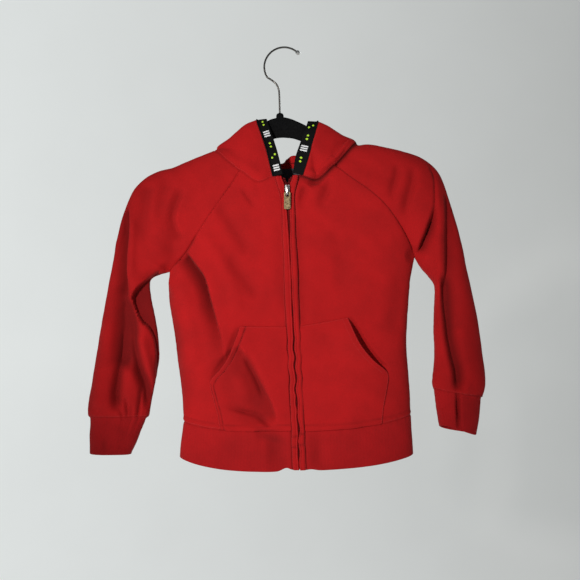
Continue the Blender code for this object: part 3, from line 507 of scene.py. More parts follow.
def dome(v):
    """Height of a half circle at v from 0 to 1."""
    return np.sqrt(np.maximum(0.0, 1 - (2 * v - 1) ** 2))


def arc(v, edge, bulge, crease):
    """Depth across an arm: up from its edge, then half round to its outer fold."""
    rise = mix(smooth(2 * v), dome(v), crease)
    return np.where(v >= 0.5, bulge * dome(v), mix(edge, bulge, rise))


def round_arm(j):
    """Which columns j round an arm are in front, and how far out they lie, from 0 to 1."""
    ahead = j <= ARM_COLS / 2
    w = np.where(ahead, j, ARM_COLS - j) / (ARM_COLS / 2)
    return ahead, 0.5 - 0.5 * np.cos(math.pi * w)


def press_both(y, x, z, ahead):
    """Depth y round an arm, let in by the folds of its front and its back."""
    out = np.empty(y.shape)
    for layer, on in ((FRONT, ahead), (BACK, ~ahead)):
        out[on] = press(y[on], x[on], z[on], layer)
    return out


def sleeve_grid(side, k, j):
    """Rows k from neck to cuff seam, columns j round from the front to the back seam."""
    k, j = np.broadcast_arrays(k[:, None], j[None, :])
    up, (ahead, v) = k <= RAGLAN_ROWS, round_arm(j)
    t = np.clip(k / RAGLAN_ROWS, 0, 1)
    arm = run(SLEEVE[side], np.clip((k - RAGLAN_ROWS) / SLEEVE_ROWS, 0, 1))
    seam = np.where(ahead[..., None], run(RAGLAN[side], t), run(RAGLAN_BACK[side], t))
    under = np.concatenate((arm[..., 2:4], 0 * arm[..., :1]), -1)
    ix, iz, edge = np.moveaxis(np.where(up[..., None], seam, under), -1, 0)
    top = np.where(up[..., None], run(SHOULDER[side], t), arm[..., [0, 1, 4, 5]])
    ox, oz, front, back = np.moveaxis(top, -1, 0)
    x, z = side * mix(ix, ox, v), mix(iz, oz, v)
    y = arc(v, edge, np.where(ahead, front, back), np.where(up, t ** 3, 1.0))
    y = press_both(np.where(ahead, -y, y), x, z, ahead)
    rim = (j <= 0) | (j >= ARM_COLS)
    y = np.where(rim, np.where(ahead, -edge, edge), y)
    return np.stack((x, np.where(rim | (k < PIT_ROW), y, ease_pit(x, y, z, side)), z), -1)


def cuff_grid(side, end, steps, j):
    """Cuff from the sleeve's end down, columns j round the arm; its mouth gapes a little."""
    ahead, v = round_arm(j)
    keys = [end]
    for k, (ox, oz, ix, iz, front, back) in enumerate(CUFF[side]):
        x, z = side * mix(ix, ox, v), mix(iz, oz, v)
        y = press_both(np.where(ahead, -front, back) * dome(v), x, z, ahead)
        lip = np.where(ahead, 3.4, -3.6) if side == LEFT else np.where(ahead, 0.8, -0.8)
        z = z + lip * dome(v) * (1 - v) * (k / 2) ** 2 * 1.3
        keys.append(np.stack((x, y, z), -1))
    return run(np.stack(keys), steps / 3)


def hem_grid(top, steps):
    """Hem band from its seam down, from one strip of the zip round the back to the other."""
    x, y = top[:, 0], top[:, 1]
    keys = [top]
    for k in (1, 2):
        row = np.empty(top.shape)
        for side in WORD:
            on = on_side(side, x)
            ahead, (wide, side_z, middle_z) = y[on] < 0, HEM[side][k]
            at = np.abs(x[on]) / HEM[side][0][0]
            nx = side * at * wide
            nz = mix(middle_z + np.where(ahead, 0, 8), side_z, np.minimum(at, 1) ** 3)
            rise = 4.5 if side == RIGHT else 2.0
            nz = nz + (k - 1) * np.where(ahead, rise * bell(nx * side - 16, 8), 0)
            ny = np.where(ahead, body_depth(nx, nz, FRONT), body_depth(nx, nz, BACK))
            row[on] = np.stack((nx, np.where(np.abs(y[on]) < 0.01, 0.0, ny), nz), -1)
        row[[0, -1], 0] = ZIP_X - STRIP, ZIP_X + STRIP
        keys.append(row)
    return run(np.stack(keys), steps / 2)


def zip_slit(z):
    """Half the gap between the strips: narrow below the pull tab, a V above the slider."""
    return (0.25 + 0.45 * smooth((-150 - z) / 30) + 1.2 * smooth((z + 92) / 45)
            + 2.4 * smooth((z + 44) / 22) + 3.6 * smooth((z + 5) / 13))


def strip_grid(side, seam, across):
    """Strip beside the zip, from its folded edge to its seam."""
    x, y, z = (seam[:, None, i] for i in range(3))
    slit = zip_slit(z)
    s = across[None, :]
    loose = smooth((-200 - z) / 60)
    nx = mix(ZIP_X + side * slit, x, s) + (1 - s) * (
        0.5 * waves(0 * z, z, 46, 7 + side) + 0.7 * loose * waves(0 * z, z, 21, 9 + side))
    ny = body_depth(nx, np.broadcast_to(z, nx.shape), FRONT)
    ny = np.where(s >= 1, y, ny)
    return np.stack((nx, ny, np.broadcast_to(z, nx.shape)), -1)


def pocket_grid(side, k, s):
    """Rows k from top to hem seam, places s from the zip's strip to the outer edge."""
    table = POCKET[side]
    last = len(table) - 1
    start = ZIP_X + side * STRIP
    k, s = np.broadcast_arrays(k[:, None], s[None, :])
    rows = run(table, k[:, 0] / last)
    if side == LEFT:                      # the mouth hangs open in a slight curve
        rows[:, 1] -= 3.0 * np.sin(math.pi * np.clip(k[:, 0] / 4, 0, 1)) ** 2
    z_out, wide = rows[:, None, 0], rows[:, None, 1]
    z_in = mix(POCKET_TOP, HEM[side][0][2], k / last)
    x, z = mix(start, side * wide, s), mix(z_in, z_out, s)
    foot = mix(HEM[side][0][2], HEM[side][0][1], (np.abs(x) / HEM[side][0][0]) ** 3)
    z = mix(z, foot, smooth(k - last + 1))
    mouth = np.where(k < 4, np.sin(math.pi * np.minimum(k / 4, 1.0)), 0.0)
    puff = 3.2 * np.sin(math.pi * s) ** 0.8 * np.sin(math.pi * np.clip(k / last, 0, 1)) ** 0.8
    open_side = mouth * smooth((s - 0.45) / 0.55)
    out = 1.5 + puff + (POCKET_GAPE[side] + 1.0) * open_side
    return np.stack((x, body_depth(x, z, FRONT) - out, z), -1)


def neck_line(side, c):
    """The neck seam of one side at the hood's columns c, front edge to centre back."""
    row = np.array([0.0])
    front = np.interp(np.interp(c, range(4), HOOD_FRONT[side]), range(11), FRONT_STEPS)
    arm = np.interp(c, range(3, 12), HOOD_SHOULDER)
    nape = np.interp(c, range(11, 15), HOOD_NAPE[::-1])
    parts = (front_grid(side, row, front)[0], sleeve_grid(side, row, arm)[0],
             back_half(side, row, nape / 8)[0])
    which = np.where(c < 3, 0, np.where(c < 11, 1, 2))
    return np.choose(which[:, None], parts)


def hood_grid(side, t, c):
    """Rows t from the neck seam (0) to the tape at the crown (9), columns c (0 to 14)."""
    keys = (HOOD_RISE[side], HOOD_BROW[side], HOOD_TOP[side], HOOD_BEHIND[side], HOOD_BACK,
            HOOD_SAG, HOOD_CROWN, HOOD_LIFT, HOOD_EDGE)
    spread = np.interp(np.linspace(0, 14, 141), range(15), HOOD_PLACES)
    spread = np.convolve(np.pad(spread, 8, mode="reflect", reflect_type="odd"),
                         np.ones(17) / 17, mode="valid")
    places = np.interp(c, np.linspace(0, 14, 141), spread) / 6
    path = [neck_line(side, c)]
    for k, row in enumerate(keys):
        a = mix(places, c / 14, min((k + 1) / 4, 1.0))
        points = run(row, a)
        points[:, 0] *= side
        path.append(points)
    grid = run(np.stack(path), t / len(keys))
    # the fallen hood dips on the right of its middle, seen between the fronts
    low = 1 - smooth((grid[..., 0] + 8) / 17) * 1.08 - smooth((-grid[..., 0] - 28) / 18)
    high = np.maximum(grid[..., 2] - 30, 0) * (grid[..., 1] > 8) * (grid[..., 1] < 40)
    grid[..., 2] -= 0.9 * high * low * smooth((c - 8) / 2)
    return grid


def smoothed(values, width):
    """Running mean along the first axis, ends kept."""
    pad = [(width, width)] + [(0, 0)] * (values.ndim - 1)
    padded = np.pad(values, pad, mode="edge")
    kernel = np.ones(2 * width + 1) / (2 * width + 1)
    return np.apply_along_axis(lambda v: np.convolve(v, kernel, mode="valid"), 0, padded)


def tape_grid(hoods, across):
    """Binding tape: it carries the hood's cloth on past the edge of its opening."""
    right, left = hoods[RIGHT], hoods[LEFT]
    edge = np.concatenate((right[:, 0], right[-1, 1:], left[-1, -2:0:-1], left[::-1, 0]))
    within = np.concatenate((right[:, 1], right[-2, 1:], left[-2, -2:0:-1], left[::-1, 1]))
    step = steps_along(edge)
    even = np.linspace(0, step[-1], int(step[-1] / (2.2)))
    edge, within = (np.stack([np.interp(even, step, v[:, i]) for i in range(3)], -1)
                    for v in (edge, within))
    along, away = unit(np.gradient(edge, axis=0)), unit(edge - within)
    flat = smooth((edge[:, 2] - 56) / 8)[:, None]
    away = mix(away, np.sign(away[:, :1]) * np.array([[1.0, 0, 0]]), flat)
    away = smoothed(unit(away - along * (away * along).sum(1)[:, None]), 4)
    away = unit(away - along * (away * along).sum(1)[:, None])
    wide = TAPE_WIDTH + 2.8 * smooth(edge[:, 0] / 6) * smooth((edge[:, 2] - 8) / 25) * smooth(
        (80 - edge[:, 2]) / 30) * (edge[:, 1] < 20)
    return edge[:, None] + away[:, None] * (across[None] * wide[:, None])[..., None]


# ---------------------------------------------------------------- cloth

def normals_of(grid, flip):
    """Unit direction of every grid point, outward."""
    n = unit(np.cross(grid[1:, 1:] - grid[:-1, :-1], grid[1:, :-1] - grid[:-1, 1:]))
    total = np.zeros(grid.shape)
    for a in (0, 1):
        for b in (0, 1):
            total[a:a + n.shape[0], b:b + n.shape[1]] += n
    return unit(total) * (-1 if flip else 1)


def rim_of(rows, cols):
    """Grid places round the rim of a sheet."""
    return ([(0, j) for j in range(cols)] + [(i, cols - 1) for i in range(1, rows)]
            + [(rows - 1, j) for j in range(cols - 2, -1, -1)]
            + [(i, 0) for i in range(rows - 2, 0, -1)])


class Piece:
    """One piece of cloth: a grid on the middle of it, and what is sewn along its sides."""

    def __init__(self, name, grid, flip, slot, wall=WALL):
        self.name, self.grid, self.flip, self.slot, self.wall = name, grid, flip, slot, wall
        self.normal = normals_of(grid, flip)
        across = np.linalg.norm(np.diff(grid, axis=1), axis=-1)
        down = np.linalg.norm(np.diff(grid, axis=0), axis=-1)
        self.u = np.pad(np.cumsum(across, 1), ((0, 0), (1, 0)))
        self.v = np.pad(np.cumsum(down, 0), ((1, 0), (0, 0)))
        self.painted_shade = self.folds() / DEEPEST                   # painted shade of its creases, from the depth of its folds
        self.painted_shade *= 0.8 if name.startswith(("sleeve", "cuff")) else 0.74

    def folds(self):
        """Depth of the folds over the piece; a hood has its own, on what hangs behind."""
        x, z, facing = self.grid[..., 0], self.grid[..., 2], self.normal[..., 1]
        if self.name.startswith("hood"):
            return (self.name != "hood_tape") * fold(x, z, HOOD) * smooth(facing / 0.5)
        return np.clip(np.where(facing < 0, fold(x, z, FRONT), fold(x, z, BACK)), 0, DEEPEST)

    def away(self, side):
        """Distance of every point from one side of the piece: first, last, top or foot."""
        return {"first": self.u, "last": self.u[:, -1:] - self.u,
                "top": self.v, "foot": self.v[-1:] - self.v}[side]

    def move(self, height):
        self.grid = self.grid + self.normal * height[..., None]
        self.normal = normals_of(self.grid, self.flip)

    def darken(self, by):
        """Shade of creases and seams, kept at its strongest."""
        self.painted_shade = np.maximum(self.painted_shade, by)


def share(pieces):
    """Gives pieces that meet in a seam the same direction along it."""
    common = {}
    rims = [(p, i, j, tuple(np.round(p.grid[i, j] / MEET).astype(int)))
            for p in pieces for i, j in rim_of(*p.grid.shape[:2])]
    for piece, i, j, at in rims:
        common[at] = common.get(at, 0) + piece.normal[i, j]
    for piece, i, j, at in rims:
        if np.linalg.norm(common[at]) > 0.3:
            piece.normal[i, j] = unit(common[at])


def welt(d, near, far, height):
    """Raised band between two distances from a side."""
    return height * (smooth((d - near) / 0.9 + 0.5) - smooth((d - far) / 1.2 + 0.5))


def quads_of(rows, cols, base=0):
    return [(a, a + cols, a + cols + 1, a + 1) for i in range(rows - 1)
            for a in range(base + i * cols, base + i * cols + cols - 1)]


def shell(piece, free=(), inside=None):
    """Closed thin shell of a piece as an object, its free sides rounded."""
    grid, n, wall = piece.grid, piece.normal, piece.wall
    rows, cols = grid.shape[:2]
    pull, bulge = np.zeros(grid.shape), np.zeros((rows, cols))
    for name, at, inner in (("top", np.s_[0], np.s_[1]), ("foot", np.s_[-1], np.s_[-2]),
                            ("first", np.s_[:, 0], np.s_[:, 1]),
                            ("last", np.s_[:, -1], np.s_[:, -2])):
        pull[at] += unit(grid[inner] - grid[at]) * (0.5 * wall if name in free else SEWN_GAP)
        bulge[at] = np.maximum(bulge[at], 0.5 * wall if name in free else 0.0)
    middle = grid + pull
    piece.outer = outer = middle + n * wall / 2
    si, sj = (2 if (count - 1) % 2 == 0 else 1 for count in (rows, cols))
    inner = (middle - n * wall / 2)[::si, ::sj]                # the lining side is coarser
    li, lj = (np.array(v) for v in zip(*rim_of(rows, cols)))
    edge = middle[li, lj] + unit(-pull[li, lj]) * bulge[li, lj][:, None]
    points = np.concatenate((outer.reshape(-1, 3), inner.reshape(-1, 3), edge))
    base, few = rows * cols, inner.shape[1]
    ring, total = base + inner.shape[0] * few, len(li)
    faces = quads_of(rows, cols) + [q[::-1] for q in quads_of(*inner.shape[:2], base)]
    lined = [0] * ((rows - 1) * (cols - 1)) + [1] * (len(faces) - (rows - 1) * (cols - 1))
    at = li * cols + lj
    for k in range(total):
        m = (k + 1) % total
        faces.append((at[k], at[m], ring + m, ring + k))
    knots = [k for k in range(total) if li[k] % si == 0 and lj[k] % sj == 0]
    for k, m in zip(knots, knots[1:] + [total]):
        ends = [base + li[q % total] // si * few + lj[q % total] // sj for q in (m, k)]
        faces.append([ring + q % total for q in range(k, m + 1)] + ends)
    lined += [0] * (len(faces) - len(lined))
    if not piece.flip:
        faces = [f[::-1] for f in faces]
    uv = np.stack(np.broadcast_arrays(piece.u.mean(0)[None], piece.v.mean(1)[:, None]), -1)
    uv = np.concatenate((uv.reshape(-1, 2), uv[::si, ::sj].reshape(-1, 2), uv[li, lj])) / 100
    painted_shade = np.concatenate((piece.painted_shade.ravel(), np.zeros(ring - base), piece.painted_shade[li, lj]))
    return solid(piece.name, place(points), faces, (piece.slot, inside or piece.slot), uv, lined,
                 painted_shade=painted_shade)


def solid(name, points, faces, slots, uv=None, lined=None, sharp=55, painted_shade=None):
    """Object of a mesh in metres, with its materials, cloth coordinates and painted shade."""
    mesh = bpy.data.meshes.new(name)
    mesh.from_pydata([tuple(map(float, p)) for p in points], [],
                     [list(map(int, f)) for f in faces])
    for slot in slots:
        mesh.materials.append(material(slot))
    if uv is not None:
        mesh.polygons.foreach_set("material_index", np.asarray(lined, np.int32))
        layer = mesh.uv_layers.new(name="cloth")
        loops = np.empty(len(mesh.loops), np.int32)
        mesh.loops.foreach_get("vertex_index", loops)
        layer.data.foreach_set("uv", np.asarray(uv, np.float32)[loops].ravel())
        layer = mesh.attributes.new("painted_shade", "FLOAT", "POINT")
        layer.data.foreach_set("value", np.asarray(painted_shade, np.float32))
    mesh.shade_smooth()
    mesh.set_sharp_from_angle(angle=math.radians(sharp))
    mesh.validate()
    body = bpy.data.objects.new(name + "_look", mesh)
    bpy.context.scene.collection.objects.link(body)
    return body


def tubes(groups):
    """Points and faces of closed tubes, each given as its loops of points."""
    points, faces = [], []
    for loops in groups:
        base, n, last = len(points), len(loops[0]), len(loops) - 1
        points += [p for loop in loops for p in loop]
        faces += [(a + j, a + (j + 1) % n, a + n + (j + 1) % n, a + n + j)
                  for a in range(base, base + n * last, n) for j in range(n)]
        faces += [tuple(range(base, base + n))[::-1],
                  tuple(range(base + n * last, base + n * last + n))]
    return np.array(points), faces


def circle(count):
    """Cosines and sines round a circle."""
    return [(math.cos(a), math.sin(a)) for a in (j * math.tau / count for j in range(count))]


def squarish(value, by):
    """A cosine or sine bent so that its circle turns squarer."""
    return math.copysign(abs(value) ** by, value)


# ---------------------------------------------------------------- materials

class Nodes:
    """Short way to wire a material."""

    def __init__(self, name):
        self.material = bpy.data.materials.new(name)
        self.material.use_nodes = True
        self.tree = self.material.node_tree
        self.shader = self.tree.nodes["Principled BSDF"]

    def feed(self, node, inputs):
        """Sets or wires the inputs of a node, given by name or number."""
        for name, value in inputs.items():
            socket = node.inputs[name.replace("_", " ") if isinstance(name, str) else name]
            if isinstance(value, bpy.types.NodeSocket):
                self.tree.links.new(value, socket)
            else:
                socket.default_value = value

    def add(self, kind, inputs, **settings):
        node = self.tree.nodes.new("ShaderNode" + kind)
        for name, value in settings.items():
            setattr(node, name, value)
        self.feed(node, inputs)
        return node.outputs

    def set(self, **values):
        self.feed(self.shader, values)

    def where(self, kind="Object"):
        return self.add("TexCoord", {})[kind]

    def noise(self, scale, detail=2.0, roughness=0.5):
        return self.add("TexNoise", {"Scale": scale, "Detail": detail, "Roughness": roughness,
                                     "Vector": self.where()})["Fac"]

    def ramp(self, source, low, dark, high, light, *more):
        """Colours from dark at low to light at high, and on."""
        stops = (low, dark), (high, light), *more
        outputs = self.add("ValToRGB", {"Fac": source})
        ramp = outputs[0].node.color_ramp
        while len(ramp.elements) < len(stops):
            ramp.elements.new(0.5)
        for element, (at, colour) in zip(ramp.elements, stops):
            element.position, element.color = at, (*colour, 1)
        return outputs["Color"]

    def blend(self, factor, a, b, kind="MIX"):
        return self.add("Mix", {0: factor, 6: a, 7: b}, data_type="RGBA", blend_type=kind)[2]

    def bump(self, height, strength, distance, before=None):
        inputs = {"Strength": strength, "Distance": distance, "Height": height}
        if before:
            inputs["Normal"] = before
        return self.add("Bump", inputs)["Normal"]

    def wave(self, source, scale):
        return self.add("TexWave", {"Scale": scale, "Vector": source})["Fac"]

    def done(self, colour, normal):
        self.set(Base_Color=colour, Normal=normal)
        return self.material


def shade(colour, by):
    return tuple(c * by for c in colour)


RED = (0.44, 0.0042, 0.0056)
RIB = (0.44, 0.0046, 0.0066)
WHITE = (1, 1, 1)


def cloth_material(name, colour, nap, rib=None, sheen=0.05, wales=True):
    """Knitted cotton: uneven dye, fine columns, nap and a few pills; ribs if asked; painted shade
    in its creases and seams.
    """
    m = Nodes(name)
    uv = m.where("UV")
    tone = m.ramp(m.noise(28, 3), 0.3, shade(colour, 0.9), 0.7, shade(colour, 1.07))
    grain = m.ramp(m.noise(1500, 2), 0.25, (0.72, 0.7, 0.7), 0.75, WHITE)
    tone = m.blend(1.0, tone, grain, "MULTIPLY")
    # painted shade: the cloth darkens in its creases and along its seams
    painted_shade = m.add("Attribute", {}, attribute_name="painted_shade")["Fac"]
    crease = m.ramp(painted_shade, 0.0, WHITE, 0.35, (0.78, 0.72, 0.72), (1.0, (0.34, 0.25, 0.26)))
    tone = m.blend(1.0, tone, crease, "MULTIPLY")
    normal = m.bump(m.noise(700, 3, 0.7), nap, 0.0004)
    if wales:
        normal = m.bump(m.wave(uv, 31.4), 0.25, 0.00015, normal)
    if rib:
        ribs = m.wave(uv, 31.4 / rib)
        # painted shade: the cloth is darker in the valleys between its ribs
        between = m.ramp(ribs, 0.1, (0.62, 0.6, 0.6), 0.6, WHITE)
        tone = m.blend(0.22, tone, m.blend(1.0, tone, between, "MULTIPLY"))
        normal = m.bump(ribs, 0.5, 0.0004, normal)
    m.set(Roughness=0.92, Sheen_Weight=sheen, Sheen_Roughness=0.45,
          Sheen_Tint=(0.9, 0.25, 0.22, 1), Specular_IOR_Level=0.25)
    return m.done(tone, normal)


def tape_material(name, colour):
    """Woven tape: a fine twill."""
    m = Nodes(name)
    turned = m.add("Mapping", {"Rotation": (0, 0, math.radians(35)), "Vector": m.where("UV")})
    weave = m.wave(turned[0], 45)
    tone = m.ramp(weave, 0.2, shade(colour, 0.6), 0.8, shade(colour, 1.4))
    flecks = m.ramp(m.noise(900), 0.3, shade(colour, 0.5), 0.7, shade(colour, 1.5))
    m.set(Roughness=0.7, Specular_IOR_Level=0.12)
    return m.done(m.blend(0.4, tone, flecks), m.bump(weave, 0.5, 0.0002))


def thread_material(name, colour, sheen=0.1, gloss=0.5):
    m = Nodes(name)
    m.set(Roughness=0.6, Sheen_Weight=sheen, Specular_IOR_Level=gloss)
    return m.done(m.ramp(m.noise(2500), 0.3, shade(colour, 0.75), 0.7, shade(colour, 1.2)),
                  m.bump(m.noise(3000), 0.5, 0.0001))


def velvet_material(name):
    m = Nodes(name)
    m.set(Roughness=0.95, Sheen_Weight=0.06, Sheen_Roughness=0.35, Specular_IOR_Level=0.08,
          Sheen_Tint=(0.5, 0.5, 0.52, 1))
    tone = m.ramp(m.noise(420, 4), 0.3, (0.003, 0.003, 0.0033), 0.7, (0.007, 0.007, 0.0075))
    return m.done(tone, m.bump(m.noise(1800, 3), 0.6, 0.0003))


def metal_material(name, colour, rough, dull, scratch=160):
    m = Nodes(name)
    wear = m.noise(scratch, 4, 0.65)
    gloss = m.ramp(m.noise(scratch * 2.3, 3), 0.3, (rough * 0.7,) * 3, 0.7, (rough * 1.4,) * 3)
    m.set(Metallic=1.0, Roughness=gloss)
    return m.done(m.ramp(wear, 0.35, shade(colour, dull), 0.62, colour),
                  m.bump(wear, 0.12, 0.0002))


SLOTS = {
    "fleece_red": (cloth_material, RED, 0.35),
    "fleece_inside": (cloth_material, shade(RED, 1.05), 0.9, None, 0.2, False),
    "rib_red": (cloth_material, RIB, 0.2, 1.3),
    "patch_grey": (cloth_material, (0.06, 0.06, 0.07), 0.2, None, 0.03),
    "tape_black": (tape_material, (0.0022, 0.0022, 0.0026)),
    "zip_red": (tape_material, (0.11, 0.002, 0.003)),
    "teeth_red": (thread_material, (0.13, 0.002, 0.003), 0.0, 0.1),
    "thread_red": (thread_material, RED),
    "mark_white": (thread_material, (0.75, 0.76, 0.78)),
    "mark_lime": (thread_material, (0.45, 0.72, 0.02)),
    "velvet_black": (velvet_material,),
    "slider_silver": (metal_material, (0.72, 0.71, 0.69), 0.25, 0.75),
    "pull_brass": (metal_material, (0.27, 0.2, 0.11), 0.42, 0.3, 420),
    "hook_metal": (metal_material, (0.16, 0.15, 0.14), 0.3, 0.6)}
MADE = {}


def material(slot):
    if slot not in MADE:
        make, *values = SLOTS[slot]
        MADE[slot] = make(slot, *values)
    return MADE[slot]


# ---------------------------------------------------------------- relief of the cloth

def uneven(p):
    """The cloth's own unevenness, alike on both sides of every seam."""
    x, z = p[..., 0] + 0.6 * p[..., 1], p[..., 2] - 0.4 * p[..., 1]
    return (0.75 * waves(x, z, 80, 3) + 0.3 * waves(x, z, 30, 5, 9)
            + 0.08 * waves(x, z, 11, 8, 11))


def seamed(piece, sides, ripple):
    """Groove and short, fading ripples along the sides of a piece that are sewn."""
    p = piece.grid
    height = uneven(p)
    ripples = ripple * waves(p[..., 0] + 0.8 * p[..., 1], p[..., 2] - 0.3 * p[..., 1], 11, 11, 9)
    for side in sides:
        d = piece.away(side)
        height = height - 0.8 * bell(d, 1.3) + ripples * np.exp(-d / 7)
    return height


# ---------------------------------------------------------------- stitches

def line_at(piece, side, d, start=0.0, stop=1.0):
    """Points and directions on the outer face along one side, d in from it."""
    away, outer, n = piece.away(side), piece.outer, piece.normal
    if side in ("top", "foot"):
        away, outer, n = away.T, outer.transpose(1, 0, 2), n.transpose(1, 0, 2)
    out = []
    for row in range(len(away)):
        order = np.argsort(away[row], kind="stable")
        out.append([[np.interp(d, away[row][order], v[row][order, i]) for i in range(3)]
                    for v in (outer, n)])
    out = np.array(out)[int(start * len(out)):max(int(stop * len(out)), 2)]
    return out[:, 0], out[:, 1]


def sew(name, lines, slot, pitch=2.7, length=2.0, radius=0.28, sink=0.12):
    """Separate lengths of thread along lines, one mesh for all of them."""
    threads = []
    for path, ups in lines:
        step = steps_along(path)
        count = int(step[-1] / pitch)
        for k in range(count):
            s = (k + 0.5) * step[-1] / count
            at = s + length * np.array([-0.5, -0.4, 0, 0.4, 0.5])
            p = np.stack([np.interp(at, step, path[:, i]) for i in range(3)], -1)
            u = np.array([np.interp(s, step, ups[:, i]) for i in range(3)])
            t = unit(p[-1] - p[0])
            u = unit(u - t * (u @ t))
            w = np.cross(t, u)
            threads.append([[q + radius * r * (u * c + w * v) + u * (rise * radius - sink)
                             for c, v in circle(6)]
                            for q, r, rise in zip(p, (0.15, 0.8, 1.0, 0.8, 0.15),
                                                  (-0.8, 0, 0.25, 0, -0.8))])
    points, faces = tubes(threads)
    return solid(name, place(points), faces, [slot])


# ---------------------------------------------------------------- the jacket

ROWS = rows_of(0, RAGLAN_ROWS + BODY_ROWS)
WIDE = 10 * FINE + 1                   # columns of a front or half the back
FRONT_S = np.interp(np.linspace(0, 10, WIDE), range(11), FRONT_STEPS)
ARM_J = np.linspace(0, ARM_COLS, 13 * FINE + 1)

pieces, hoods = {}, {}


def cloth(name, grid, slot, flip=False, wall=WALL):
    pieces[name] = Piece(name, grid, flip, slot, wall)
    return grid


for side, word in WORD.items():
    flip = side == LEFT
    cloth("front_" + word, front_grid(side, ROWS, FRONT_S), "fleece_red", flip)
    sleeve = cloth("sleeve_" + word, sleeve_grid(side, ROWS, ARM_J), "fleece_red", flip)
    cloth("cuff_" + word, cuff_grid(side, sleeve[-1], np.linspace(0, 3, 3 * FINE + 1), ARM_J),
          "rib_red", flip)
    cloth("pocket_" + word, pocket_grid(side, np.linspace(0, 7, 8 * FINE + 1),
                                        np.linspace(0, 1, 7 * FINE + 1)), "fleece_red", flip)
    hoods[side] = hood_grid(side, rows_of(0, 9), np.linspace(0, 14, 13 * FINE + 1))
    cloth("hood_" + word, hoods[side][::-1], "fleece_red", flip)
halves = [back_half(side, ROWS, np.linspace(0, 1, WIDE)) for side in WORD]
back = cloth("back", np.concatenate((halves[0][:, ::-1], halves[1][:, 1:]), 1), "fleece_red")
end = [pieces["front_" + word].grid[-1] for word in WORD.values()]
hem = cloth("hem_band", hem_grid(np.concatenate((end[0], back[-1][1:-1], end[1][::-1])),
                                 np.linspace(0, 2, 3 * FINE + 1)), "rib_red")
for side, word in WORD.items():
    seam = np.concatenate((pieces["front_" + word].grid[:, 0],
                           hem[1:, 0 if side == RIGHT else -1]))
    cloth("placket_" + word, strip_grid(side, seam, np.linspace(0, 1, FINE + 1)), "fleece_red",
          side == LEFT)
cloth("hood_tape", tape_grid(hoods, np.linspace(-0.11, 1, FINE + 2)), "tape_black",
      wall=TAPE_WALL)
x, z = np.meshgrid(np.linspace(-24, 25, 3 * FINE + 1), np.linspace(24, -8, 2 * FINE + 1))
cloth("neck_patch", np.stack((x, body_depth(x, z, BACK) - WALL - 0.5, z), -1), "patch_grey",
      True, 1.0)
share(pieces.values())

# which sides of a piece are sewn, which are free, and the ripples along the seams
ALL = ("first", "last", "top", "foot")
SEWN = {"front": ALL, "sleeve": ALL, "back": ALL, "cuff": ALL[:3], "hem": ALL[:3],
        "placket": ("last",), "pocket": (), "hood": ("foot", "last"), "neck": ()}
FREE = {"cuff": ("foot",), "hem": ("foot",), "placket": ("first", "top", "foot"),
        "pocket": ALL, "neck": ("foot", "first", "last")}
RIPPLE = {"cuff": 0.45, "pocket": 0.2, "hem": 0.45, "neck": 0.0}
SEAM_SHADE = {"hem": 0.4, "cuff": 0.4, "hood": 0.4}


def seam_shade(piece, kind, edge, left_side, d):
    """Painted shade along a seam and how far the cloth falls at it."""
    x, z = piece.grid[..., 0], piece.grid[..., 2]
    dark = 0.8 if left_side and kind == "hood" else SEAM_SHADE.get(kind, 0.22)
    if (kind, edge) in (("front", "first"), ("hem", "first"), ("hem", "last"),
                        ("placket", "last")):                  # beside the zip, with deeper painted shade
        dark = np.where(x > ZIP_X, 0.95, 0.45 + 0.4 * smooth((-140 - z) / 60))
    fall = 0
    if kind == "front" and edge == "last":                     # the cloth turns in to its side; painted shade there below the underarm
        piece.darken(0.5 * smooth((-112 - z) / 25) * bell(d, 7))
    if left_side and kind in ("front", "sleeve") and edge == "top":
        fall = 3.6 * d / 4 * np.exp(1 - d / 4)                 # it sinks under the hood, with painted shadow below the hood's edge
        piece.darken(bell(d, 4.8))
    # painted shade along the seam's groove, darkest below the hood on the left
    groove = bell(d, np.where(dark > 0.3, 1.35, 1.8))
    piece.darken(dark * groove)
    return fall + 0.8 * groove * (dark > 0.8)


